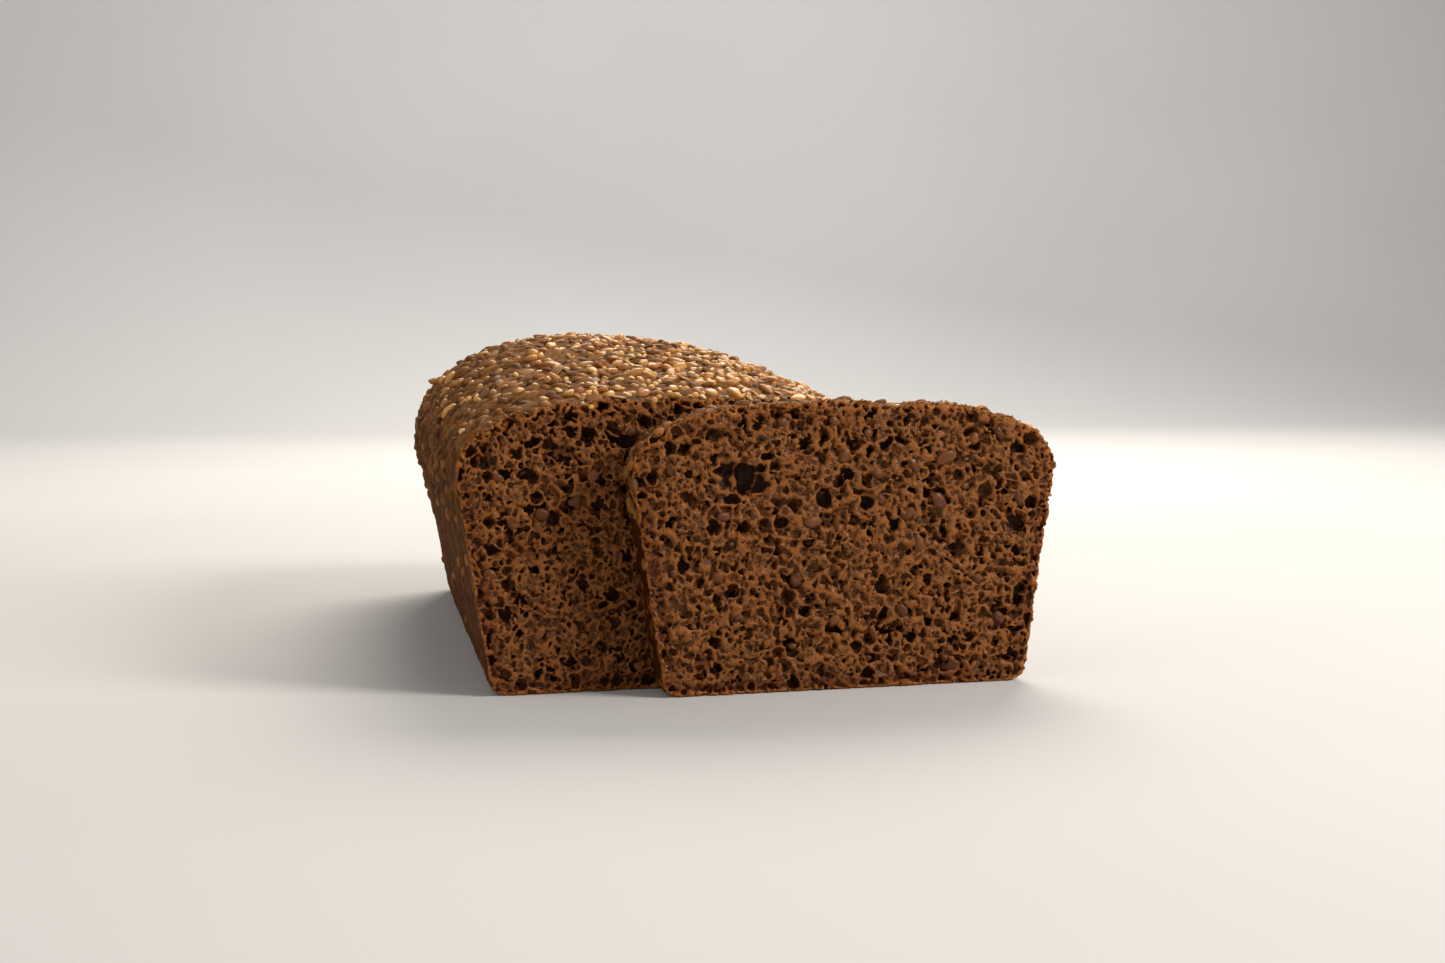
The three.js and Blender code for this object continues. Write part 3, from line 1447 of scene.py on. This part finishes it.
def laid(place: Vector, normal: Vector, turn: float, tilt: Vector, size: float) -> Matrix:
    """Where a seed goes when it lies on a surface.

    Args:
        place: the seed's middle.
        normal: of the surface under it.
        turn: angle of the seed's length about the normal.
        tilt: added to the normal, so that the seed lies unevenly.
        size: scale of the seed.

    Returns:
        The seed's matrix.
    """
    upright = (normal + tilt).normalized().to_track_quat("Z", "X").to_matrix().to_4x4()
    return Matrix.Translation(place) @ upright @ Matrix.Rotation(turn, 4, "Z") @ Matrix.Scale(size, 4)


@dataclass(frozen=True)
class Kind:
    """One kind of seed on the crust."""

    scatter: Scatter
    radius: float  # of the room that it takes on the plan
    thickness: float
    share: float  # of all the seeds


@dataclass
class Crowd:
    """Keeps seeds from lying in one another."""

    cell: float  # no seed is wider than this
    taken: dict[tuple[int, int, int], list[tuple[Vector, float]]] = field(default_factory=dict)

    def has_room(self, place: Vector, radius: float) -> bool:
        """Whether a round seed fits at a place, and if so takes the place.

        Args:
            place: the middle of the seed.
            radius: of the room that it takes.

        Returns:
            Whether it fits.
        """
        home = tuple(math.floor(part / self.cell) for part in place)
        for step in product((-1, 0, 1), repeat=3):
            cell = tuple(part + move for part, move in zip(home, step))
            for other, other_radius in self.taken.get(cell, ()):
                if (place - other).length < radius + other_radius:
                    return False
        self.taken.setdefault(home, []).append((place, radius))
        return True


class Ground:
    """The surface of a piece of bread, for seeds to lie on."""

    def __init__(self, piece: bpy.types.Object, cuts: Sequence[Cut]) -> None:
        """Reads the faces of a finished piece with its cuts.

        Args:
            piece: with its crust as its first material.
            cuts: the knife's faces.
        """
        mesh = piece.data
        self.cuts = cuts
        self.low, self.high = box_of(piece)
        self.centre = (self.low + self.high) / 2
        self.crust = [face for face in mesh.polygons if face.material_index == 0]
        self.sums = list(accumulate(face.area for face in self.crust))
        self.tree = surface_of(mesh)

    def anywhere(self, chance: random.Random) -> tuple[Vector, Vector]:
        """A random point of the crust, and the direction that it faces."""
        face = chance.choices(self.crust, cum_weights=self.sums)[0]
        return face.center.copy(), face.normal.copy()

    def is_whole(self, place: Vector, radius: float) -> bool:
        """Whether the knife would have missed a seed of a radius there."""
        return all(cut.depth(place) > radius for cut in self.cuts)

    def below(self, x: float, y: float) -> tuple[Optional[Vector], Optional[Vector]]:
        """The point straight below a place over the bread, and the direction that it faces.

        Args:
            x: to the right of the middle.
            y: along the loaf.

        Returns:
            Both, or None twice where there is no bread below.
        """
        above = Vector((x, y, self.high.z + 10 * MM))
        place, normal, _, _ = self.tree.ray_cast(above, Vector((0, 0, -1)))
        return place, normal


@dataclass
class Topping:
    """The seeds and cracked grain pressed on the top of the loaf."""

    band_middle: float = 14 * MM  # of the thickly strewn band, across the loaf
    band_half: float = 33 * MM
    band_fade: float = 26 * MM  # how far out it thins
    edge_half: float = 58 * MM  # past this there are none
    sparse: float = 0.10  # how many stay outside the band
    patch: float = 17 * MM  # size of the places that caught fewer
    tries_per_area: float = 850_000.0
    sunk: float = 0.40  # how deep a seed sits, as a share of its thickness
    bare: tuple[float, float] = (6 * MM, 13 * MM)  # how far behind the front the seeds grow closer
    lowest: float = 58 * MM  # no strewn seed lies below this
    buried_low: float = 26 * MM  # hardly any grain is buried below this
    buried_high: float = 70 * MM  # they lie close above this
    buried_tries: int = 3600
    buried_radius: float = 1.7 * MM
    buried_least: float = 0.05  # how many stay lower down
    buried_in_band: float = 0.6  # how many fewer lie under the thick of the strewn seeds
    slice_share: float = 0.08
    widest: float = 7 * MM  # room that a seed takes at most
    tilt: float = 0.25
    buried_tilt: float = 0.3
    seed: int = 11

    def buried_kind(self) -> Scatter:
        """Whole grains under a skin of dough.

        Returns:
            What gathers them.
        """
        shapes = (
            SeedShape(5.2 * MM, 3.2 * MM, 2.6 * MM, taper=0.2, ripple=0.08),
            SeedShape(3.8 * MM, 3.2 * MM, 2.4 * MM, taper=0.2, ripple=0.12),
        )
        return Scatter("topping_buried", Finish.BURIED, shapes, "seed_topping")

    def kinds(self) -> list[Kind]:
        """The kinds of seed that are strewn.

        Returns:
            The kinds, with their shapes and finishes.
        """
        sesame = (
            SeedShape(3.1 * MM, 2.1 * MM, 1.2 * MM, taper=0.45, ripple=0.03),
            SeedShape(2.7 * MM, 2.0 * MM, 1.3 * MM, taper=0.35, ripple=0.04),
        )
        wheat = (
            SeedShape(4.6 * MM, 3.4 * MM, 2.4 * MM, taper=0.15, crease=0.3, ripple=0.10),
            SeedShape(3.8 * MM, 3.3 * MM, 2.3 * MM, taper=0.3, ripple=0.18),
            SeedShape(5.6 * MM, 3.3 * MM, 2.5 * MM, taper=0.1, crease=0.35, ripple=0.08),
        )
        millet = (SeedShape(2.2 * MM, 2.0 * MM, 1.7 * MM, ripple=0.05),)
        flake = (
            SeedShape(5.2 * MM, 4.0 * MM, 0.8 * MM, taper=0.2, ripple=0.16),
            SeedShape(4.0 * MM, 3.0 * MM, 0.7 * MM, taper=0.4, ripple=0.2),
        )
        slot = "seed_topping"
        return [
            Kind(Scatter("topping_sesame", Finish.SESAME, sesame, slot), 1.1 * MM, 1.0 * MM, 0.26),
            Kind(Scatter("topping_wheat", Finish.WHEAT, wheat, slot), 1.5 * MM, 1.9 * MM, 0.36),
            Kind(Scatter("topping_millet", Finish.MILLET, millet, slot), 0.9 * MM, 1.5 * MM, 0.12),
            Kind(Scatter("topping_flakes", Finish.FLAKE, flake, slot), 1.8 * MM, 0.7 * MM, 0.26),
        ]

    def build(self, loaf: Ground, slice_ground: Ground) -> list[bpy.types.Object]:
        """Strews the seeds.

        Args:
            loaf: the finished loaf, whose top they lie on.
            slice_ground: the slice, whose top edge keeps a few.

        Returns:
            A piece for each kind of seed.
        """
        chance = random.Random(self.seed)
        kinds = self.kinds()
        buried = self.buried_kind()
        scatters = [buried] + [kind.scatter for kind in kinds]
        for scatter in scatters:
            scatter.prepare(chance)
        for ground, share in ((loaf, 1.0), (slice_ground, self.slice_share)):
            crowd = Crowd(self.widest)
            self.bury(ground, crowd, buried, chance, share)
            self.strew(ground, crowd, kinds, chance, share)
        return [scatter.piece() for scatter in scatters]

    def bury(
        self, ground: Ground, crowd: Crowd, scatter: Scatter, chance: random.Random, share: float
    ) -> None:
        """Sets grains that the dough covers, close on the shoulders and few lower down.

        Args:
            ground: the piece of bread that they lie on.
            crowd: what is there already.
            scatter: what gathers them.
            chance: where the random draws come from.
            share: how much of the whole number to try.
        """
        for _ in range(int(self.buried_tries * share)):
            place, normal = ground.anywhere(chance)
            climb = (place.z - self.buried_low) / (self.buried_high - self.buried_low)
            strewn = self.density(place.x - ground.centre.x)
            kept = min(1.0, max(self.buried_least, climb)) * (1.0 - self.buried_in_band * strewn)
            if normal.z < -0.3 or chance.random() > kept or not ground.is_whole(place, 1.5 * MM):
                continue
            if not crowd.has_room(place, self.buried_radius * chance.uniform(0.9, 1.5)):
                continue
            tilt = anyhow(chance, self.buried_tilt)
            sunken = place + normal * chance.uniform(-0.5, 0.25) * MM
            turn, size = chance.uniform(0, math.tau), chance.uniform(0.7, 1.1)
            scatter.add(laid(sunken, normal, turn, tilt, size), chance)

    def strew(
        self, ground: Ground, crowd: Crowd, kinds: list[Kind], chance: random.Random, share: float
    ) -> None:
        """Strews one piece of bread from above.

        Args:
            ground: the piece of bread that they lie on.
            crowd: what is there already.
            kinds: what is strewn.
            chance: where the random draws come from.
            share: how much of the whole number to try.
        """
        low, high = ground.low, ground.high
        weights = [kind.share for kind in kinds]
        tries = self.tries_per_area * (high.x - low.x) * (high.y - low.y) * share
        for _ in range(int(tries)):
            kind = chance.choices(kinds, weights)[0]
            x, y = chance.uniform(low.x, high.x), chance.uniform(low.y, high.y)
            kept = self.density(x - ground.centre.x) * self.behind(y - low.y) * self.caught(x, y)
            if chance.random() > kept:
                continue
            place, normal = ground.below(x, y)
            if place is None or normal.z < 0.35 or place.z < self.lowest:
                continue
            if not ground.is_whole(place, 0.8 * kind.radius) or not crowd.has_room(place, kind.radius):
                continue
            tilt = anyhow(chance, self.tilt)
            raised = place + normal * kind.thickness * (0.5 - self.sunk * chance.uniform(0.6, 1.4))
            turn, size = chance.uniform(0, math.tau), chance.uniform(0.8, 1.2)
            kind.scatter.add(laid(raised, normal, turn, tilt, size), chance)

    def behind(self, away: float) -> float:
        """The share of seeds kept at a distance behind the front of the bread."""
        start, stop = self.bare
        return min(1.0, max(0.15, (away - start) / (stop - start)))

    def caught(self, x: float, y: float) -> float:
        """The share of seeds that the dough caught at a place, which changes from patch to patch."""
        return 0.75 + 0.9 * noise.noise(Vector((x, y, 0.0)) / self.patch)

    def density(self, across: float) -> float:
        """The share of seeds kept at a distance from the middle of the loaf.

        Args:
            across: that distance, positive to the right.

        Returns:
            The share.
        """
        away = abs(across - self.band_middle) - self.band_half
        if away < 0:
            return 1.0
        fade = max(0.0, 1.0 - away / self.band_fade)
        return max(fade * fade, self.sparse) if abs(across) < self.edge_half else 0.0


def surface_of(mesh: bpy.types.Mesh) -> BVHTree:
    """A mesh's surface, for finding what is near."""
    corners = [vertex.co for vertex in mesh.vertices]
    return BVHTree.FromPolygons(corners, [face.vertices for face in mesh.polygons])


def within(surface: BVHTree, place: Vector) -> float:
    """How far a place lies inside a surface, negative outside it."""
    nearest, normal, _, _ = surface.find_nearest(place)
    return (nearest - place).dot(normal)


def box_of(piece: bpy.types.Object) -> tuple[Vector, Vector]:
    """The lowest and the highest corner of a piece."""
    places = points_of(piece.data)
    return Vector(places.min(axis=0)), Vector(places.max(axis=0))


@dataclass
class SoakedGrain:
    """Whole and cut rye kernels that the knife laid bare in the crumb."""

    spacing: float = 7.0 * MM
    inset: float = 4 * MM  # from the outline of the cut
    proud: float = 0.1 * MM  # the knife left none standing further out
    deepest: float = 2.2 * MM
    loose: float = 0.5 * MM  # the furthest that its middle may lie out of the crumb
    tries: int = 600
    tilt: float = 0.5
    seed: int = 5

    def shapes(self) -> tuple[SeedShape, ...]:
        """The kernels' shapes.

        Returns:
            One for each kind of kernel.
        """
        fine = (10, 7)
        return (
            SeedShape(5.2 * MM, 3.2 * MM, 2.6 * MM, taper=0.25, crease=0.3, ripple=0.10, fineness=fine),
            SeedShape(4.2 * MM, 3.4 * MM, 2.4 * MM, taper=0.4, ripple=0.16, fineness=fine),
            SeedShape(3.4 * MM, 3.0 * MM, 2.4 * MM, taper=0.1, ripple=0.20, fineness=fine),
        )

    def build(self, name: str, bread: Bread, crumb: BVHTree) -> bpy.types.Object:
        """Sets kernels in the cuts of one piece of bread.

        Args:
            name: of the new piece.
            bread: gives the faces to set them in and the crust, which they stay clear of.
            crumb: the finished surface of the same bread, which has to hold them.

        Returns:
            The kernels as one piece.
        """
        chance = random.Random(self.seed + len(name))
        scatter = Scatter(name, Finish.SOAKED, self.shapes(), "soaked_grain", variants=4)
        scatter.prepare(chance)
        skin = surface_of(bread.skin)
        for cut in bread.cuts:
            crowd = Crowd(2 * self.spacing)
            for _ in range(self.tries):
                place = self.somewhere(cut, chance)
                if within(skin, place) < self.inset or within(crumb, place) < -self.loose:
                    continue
                if crowd.has_room(place, self.spacing * chance.uniform(0.4, 0.75)):
                    self.set_one(cut, place, scatter, chance)
        piece = scatter.piece()
        shave(piece.data, bread.cuts, self.proud)
        return piece

    def somewhere(self, cut: Cut, chance: random.Random) -> Vector:
        """A random place just behind a cut.

        Args:
            cut: the cut face.
            chance: where the random draws come from.

        Returns:
            The place.
        """
        across = chance.uniform(-cut.width / 2, cut.width / 2)
        up = chance.uniform(self.inset, cut.height - self.inset)
        place = cut.middle + cut.across * across + Vector((0, 0, up))
        return place + cut.inward * chance.uniform(0.0, self.deepest)

    def set_one(self, cut: Cut, place: Vector, scatter: Scatter, chance: random.Random) -> None:
        """Sets one kernel in a cut.

        Args:
            cut: the cut face.
            place: the kernel's middle.
            scatter: what gathers them.
            chance: where the random draws come from.
        """
        tilt = anyhow(chance, self.tilt)
        size = chance.uniform(0.55, 1.3)
        scatter.add(laid(place, -cut.inward, chance.uniform(0, math.tau), tilt, size), chance)


@dataclass
class Shreds:
    """Torn bits of crust that the knife left along the rim of a cut."""

    spacing: float = 0.45 * MM  # half the least between two of them
    tries: int = 1100
    proud_on_top: float = 0.30 * MM
    proud_on_walls: float = -0.10 * MM
    nearest: float = 0.5 * MM  # behind the cut
    furthest: float = 2.2 * MM
    lowest: float = 1.2 * MM  # above the board
    widest: float = 3 * MM  # room that a bit takes at most
    tilt_on_top: float = 0.5
    tilt_on_walls: float = 0.25
    seed: int = 23

    def build(self, breads: Sequence[Bread]) -> bpy.types.Object:
        """Sets the bits round every cut of the breads, in one piece.

        Args:
            breads: the loaf and the slice.

        Returns:
            The piece.
        """
        chance = random.Random(self.seed)
        shapes = (
            SeedShape(1.6 * MM, 1.1 * MM, 0.6 * MM, ripple=0.30),
            SeedShape(1.1 * MM, 0.9 * MM, 0.7 * MM, ripple=0.35),
            SeedShape(1.9 * MM, 0.9 * MM, 0.6 * MM, taper=0.4, ripple=0.30),
        )
        scatter = Scatter("torn_rim", Finish.SHRED, shapes, "rye_crust")
        scatter.prepare(chance)
        for bread in breads:
            for cut in bread.cuts:
                self.set_round(cut, bread.skin, scatter, chance)
        return scatter.piece()

    def set_round(
        self, cut: Cut, skin: bpy.types.Mesh, scatter: Scatter, chance: random.Random
    ) -> None:
        """Sets the bits round one cut.

        Args:
            cut: the cut face.
            skin: the crust near it.
            scatter: what gathers them.
            chance: where the random draws come from.
        """
        rim = [vertex for vertex in skin.vertices if self.nearest < cut.depth(vertex.co) < self.furthest]
        crowd = Crowd(self.widest)
        for _ in range(self.tries):
            vertex = chance.choice(rim)
            on_top = vertex.normal.z > 0.5
            proud = self.proud_on_top if on_top else self.proud_on_walls
            place = vertex.co + vertex.normal * chance.uniform(-0.5 * MM, proud)
            if place.z < self.lowest or not crowd.has_room(place, self.spacing):
                continue
            tilt = anyhow(chance, self.tilt_on_top if on_top else self.tilt_on_walls)
            size = chance.uniform(0.45, 0.95)
            scatter.add(laid(place, vertex.normal, chance.uniform(0, math.tau), tilt, size), chance)


def shave(mesh: bpy.types.Mesh, cuts: Sequence[Cut], proud: float, flattened: float = 0.85) -> None:
    """Flattens whatever stands further out of a cut than the knife would leave.

    Args:
        mesh: is changed in place.
        cuts: the knife's faces.
        proud: how far out of the cut a thing may stand.
        flattened: how much of the rest is taken off.
    """
    for vertex in mesh.vertices:
        for cut in cuts:
            over = -cut.depth(vertex.co) - proud
            if over > 0.0:
                vertex.co += cut.inward * over * flattened


# ---------------------------------------------------------------------------------------------------
# The loaf and its slice
# ---------------------------------------------------------------------------------------------------


@dataclass
class Baking:
    """The loaf and the slice that came off it."""

    crumb: Crumb = field(default_factory=Crumb)
    loaf_crust: Crust = field(default_factory=lambda: Crust(voxel=0.95 * MM))
    slice_crust: Crust = field(default_factory=lambda: Crust(voxel=0.65 * MM, lump=0.8 * MM, rag=0.9 * MM))
    loaf_hollows: tuple[Hollow, ...] = (
        Hollow(-32 * MM, 63 * MM, 0.3 * MM, (4.2 * MM, 2.4 * MM, 2.6 * MM)),
        Hollow(-24 * MM, 68 * MM, 1.0 * MM, (2.4 * MM, 3.6 * MM, 2.6 * MM)),
        Hollow(-14 * MM, 66 * MM, 1.0 * MM, (2.8 * MM, 3.4 * MM, 2.2 * MM)),
        Hollow(-41 * MM, 58 * MM, 0.8 * MM, (2.6 * MM, 2.8 * MM, 2.0 * MM)),
    )
    slice_hollows: tuple[Hollow, ...] = (
        Hollow(-33.5 * MM, 59 * MM, 1.5 * MM, (3.4 * MM, 4.0 * MM, 2.0 * MM)),
        Hollow(-28 * MM, 56.5 * MM, 2.5 * MM, (2.9 * MM, 4.6 * MM, 4.8 * MM)),
        Hollow(-32 * MM, 55 * MM, 0.2 * MM, (3.2 * MM, 2.2 * MM, 3.0 * MM)),
        Hollow(-36 * MM, 68 * MM, 0.4 * MM, (3.6 * MM, 2.2 * MM, 1.9 * MM)),
        Hollow(-5 * MM, 45 * MM, 0.2 * MM, (3.8 * MM, 2.4 * MM, 2.4 * MM)),
        Hollow(-19 * MM, 45 * MM, 0.8 * MM, (2.0 * MM, 2.8 * MM, 1.9 * MM)),
    )
    loaf_seed: float = 17 * MM
    slice_seed: float = 83 * MM
    skin_depth: float = 0.25 * MM  # faces no deeper than this are crust

    def build(self) -> tuple[bpy.types.Object, bpy.types.Object, Bread, Bread]:
        """Builds both pieces of bread and dresses them.

        Returns:
            The loaf and the slice as pieces, and what each was made from.
        """
        forward, back = Vector((0, -1, 0)), Vector((0, 1, 0))
        loaf_cut = Cut.find(merged_copy("loaf"), forward)
        slice_shape = merged_copy("slice")
        slice_cuts = (Cut.find(slice_shape, forward), Cut.find(slice_shape, back))
        loaf = Bread("loaf", self.loaf_crust, (loaf_cut,))
        piece = Bread("slice", self.slice_crust, slice_cuts)
        for bread in (loaf, piece):
            bread.prepare()
            log.info("%s: body of %d triangles", bread.node, triangles(bread.body))
        shared_air = self.crumb.air(loaf_cut, loaf.skin, self.loaf_seed, self.loaf_hollows)
        front_air = self.crumb.air(slice_cuts[0], piece.skin, self.slice_seed, self.slice_hollows)
        log.info("air: %d and %d triangles", triangles(shared_air), triangles(front_air))
        loaf_piece = self.dressed(loaf, loaf.opened([shared_air]), LOAF_CRUST)
        opened_slice = piece.opened([front_air, shared_air])
        slice_piece = self.dressed(piece, opened_slice, SHADED_SLICE_CRUST)
        return loaf_piece, slice_piece, loaf, piece

    def dressed(
        self, bread: Bread, piece: bpy.types.Object, crust: CrustFinish
    ) -> bpy.types.Object:
        """Gives a piece its crust and crumb finishes, and puts it in the place of its CAD node.

        Args:
            bread: what the piece was made from.
            piece: the piece.
            crust: the finish of its crust.

        Returns:
            The same piece.
        """
        mesh = piece.data
        mesh.materials.clear()
        mesh.materials.append(crust.material())
        mesh.materials.append(CRUMB.material())
        mesh.polygons.foreach_set("material_index", crumb_faces(mesh, self.skin_depth))
        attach(piece, BODY)
        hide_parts(bread.node)
        log.info("%s: %d triangles", piece.name, triangles(mesh))
        return piece


def crumb_faces(mesh: bpy.types.Mesh, thin: float) -> list[int]:
    """1 for each face that lies inside the crust, 0 for each that is the crust itself.

    Args:
        mesh: with its distances from the crust.
        thin: what is no deeper is crust.

    Returns:
        A material number for each face.
    """
    rind = np.empty(len(mesh.vertices), dtype=np.float32)
    mesh.attributes["rind"].data.foreach_get("value", rind)
    return [int(max(rind[index] for index in face.vertices) > thin) for face in mesh.polygons]


CRUMB = CrumbFinish()
LOAF_CRUST = CrustFinish("loaf_crust")
# The slice's crust is the loaf's own crust; its walls are made far darker than the loaf's: painted shade.
SHADED_SLICE_CRUST = CrustFinish(
    "slice_crust",
    brown=(0.130, 0.042, 0.008),
    flour=(0.240, 0.092, 0.020),
    # painted shade on the slice's walls
    wall=(0.036, 0.009, 0.0014),
    wall_pale=(0.120, 0.032, 0.004),
    roughness=0.62,
)


# ---------------------------------------------------------------------------------------------------
# Studio
# ---------------------------------------------------------------------------------------------------


@dataclass(frozen=True)
class Lamp:
    """A soft square light."""

    name: str
    place: Vector
    side: float
    watts: float
    colour: Colour
    target: Vector = Vector((0.02, -0.01, 0.045))  # the middle of the bread

    def build(self) -> None:
        """Hangs the light and turns it to its target."""
        light = bpy.data.lights.new(self.name, "AREA")
        light.size = self.side
        light.energy = self.watts
        light.color = self.colour
        hung = bpy.data.objects.new(self.name, light)
        hung.location = self.place
        hung.rotation_euler = (self.target - self.place).to_track_quat("-Z", "Y").to_euler()
        bpy.context.scene.collection.objects.link(hung)


@dataclass
class Studio:
    """A plain pale floor that sweeps up behind, soft lights and the camera."""

    eye: Vector = Vector((-87.3 * MM, -630.3 * MM, 97.7 * MM))
    heading: float = math.radians(10.8)  # from +Y towards +X
    pitch: float = math.radians(4.617)  # down
    lens: float = 49.83
    floor_half: float = 5.0
    floor_back: float = 1.1
    sweep: float = 0.5  # radius of the bend behind
    wall: float = 1.2
    floor_colour: Colour = (0.64, 0.63, 0.62)
    wall_target: Vector = Vector((0.4, 2.2, 0.5))  # what the backdrop's light is turned to
    sky_colour: Colour = (1.0, 0.98, 0.96)
    sky_strength: float = 0.34

    def lamps(self) -> tuple[Lamp, ...]:
        """The lights.

        Returns:
            The lamps.
        """
        return (
            Lamp("key", Vector((0.74, -0.52, 0.64)), 0.36, 8.2, (1.0, 0.95, 0.88)),
            Lamp("window", Vector((-0.9, -0.5, 0.7)), 0.9, 1.6, (1.0, 0.97, 0.92)),
            Lamp("rear", Vector((0.3, 0.75, 0.85)), 0.7, 12.5, (1.0, 0.93, 0.82)),
            Lamp("backdrop", Vector((0.3, 0.9, 1.3)), 0.9, 8.0, (0.97, 0.98, 1.0), self.wall_target),
        )

    def build(self) -> None:
        """Builds the whole studio."""
        for lamp in self.lamps():
            lamp.build()
        self.camera()
        self.floor()
        world = bpy.data.worlds.new("studio")
        world.use_nodes = True
        background = world.node_tree.nodes["Background"]
        background.inputs["Color"].default_value = (*self.sky_colour, 1.0)
        background.inputs["Strength"].default_value = self.sky_strength
        bpy.context.scene.world = world
        bpy.context.scene.view_settings.view_transform = "Standard"

    def camera(self) -> None:
        """Sets the camera."""
        level = math.cos(self.pitch)
        east, north = math.sin(self.heading) * level, math.cos(self.heading) * level
        ahead = Vector((east, north, -math.sin(self.pitch)))
        data = bpy.data.cameras.new("camera")
        data.lens = self.lens
        data.clip_start = 0.01
        camera = bpy.data.objects.new("camera", data)
        camera.location = self.eye
        camera.rotation_euler = ahead.to_track_quat("-Z", "Y").to_euler()
        bpy.context.scene.collection.objects.link(camera)
        bpy.context.scene.camera = camera

    def floor(self) -> None:
        """Lays the floor and gives it its finish."""
        mesh = self.swept()
        smooth(mesh)
        material, graph, shader = new_material("floor")
        soft = graph.ramp(graph.noise(own_place(graph), 0.3, 2.0), 0.3, 0.7)
        darker = tuple(part * 0.96 for part in self.floor_colour)
        graph.feed(shader.inputs["Base Color"], graph.mix(soft, self.floor_colour, darker))
        shader.inputs["Roughness"].default_value = 0.85
        mesh.materials.append(material)
        new_object("floor", mesh)

    def swept(self) -> bpy.types.Mesh:
        """Makes the floor from one edge, drawn back, bent up and drawn to a wall.

        Returns:
            The floor's mesh.
        """
        work = bmesh.new()
        ends = [work.verts.new((side * self.floor_half, -self.floor_half, 0)) for side in (-1, 1)]
        edge = work.edges.new(ends)
        verts, edges = extruded(work, [edge], Vector((0, self.floor_half + self.floor_back, 0)))
        centre = (0, self.floor_back, self.sweep)
        quarter = math.pi / 2
        bent = bmesh.ops.spin(work, geom=edges + verts, cent=centre, axis=(1, 0, 0), angle=quarter, steps=16)
        last = [item for item in bent["geom_last"] if isinstance(item, bmesh.types.BMEdge)]
        extruded(work, last, Vector((0, 0, self.wall)))
        bmesh.ops.recalc_face_normals(work, faces=work.faces)
        return to_mesh(work, "floor")


def extruded(
    work: bmesh.types.BMesh, edges: list[bmesh.types.BMEdge], move: Vector
) -> tuple[list[bmesh.types.BMVert], list[bmesh.types.BMEdge]]:
    """Draws edges out by a move, and returns the vertices and edges at the far end.

    Args:
        work: is changed in place.
        edges: to start from.
        move: how far and which way.

    Returns:
        The new vertices and the new edges.
    """
    made = bmesh.ops.extrude_edge_only(work, edges=edges)["geom"]
    far_verts = [item for item in made if isinstance(item, bmesh.types.BMVert)]
    far_edges = [item for item in made if isinstance(item, bmesh.types.BMEdge)]
    bmesh.ops.translate(work, verts=far_verts, vec=move)
    return far_verts, far_edges


# ---------------------------------------------------------------------------------------------------


def main() -> None:
    """Builds the loaf, its slice, their seeds and grains, and the studio."""
    logging.basicConfig(level=logging.INFO, format="%(relativeCreated)7.0f ms %(message)s")
    loaf_piece, slice_piece, loaf, piece = Baking().build()
    grain = SoakedGrain()
    loaf_ground, slice_ground = Ground(loaf_piece, loaf.cuts), Ground(slice_piece, piece.cuts)
    grain.build("grains_loaf", loaf, loaf_ground.tree)
    grain.build("grains_slice", piece, slice_ground.tree)
    Shreds().build((loaf, piece))
    Topping().build(loaf_ground, slice_ground)
    Studio().build()


if __name__ == "__main__":
    main()
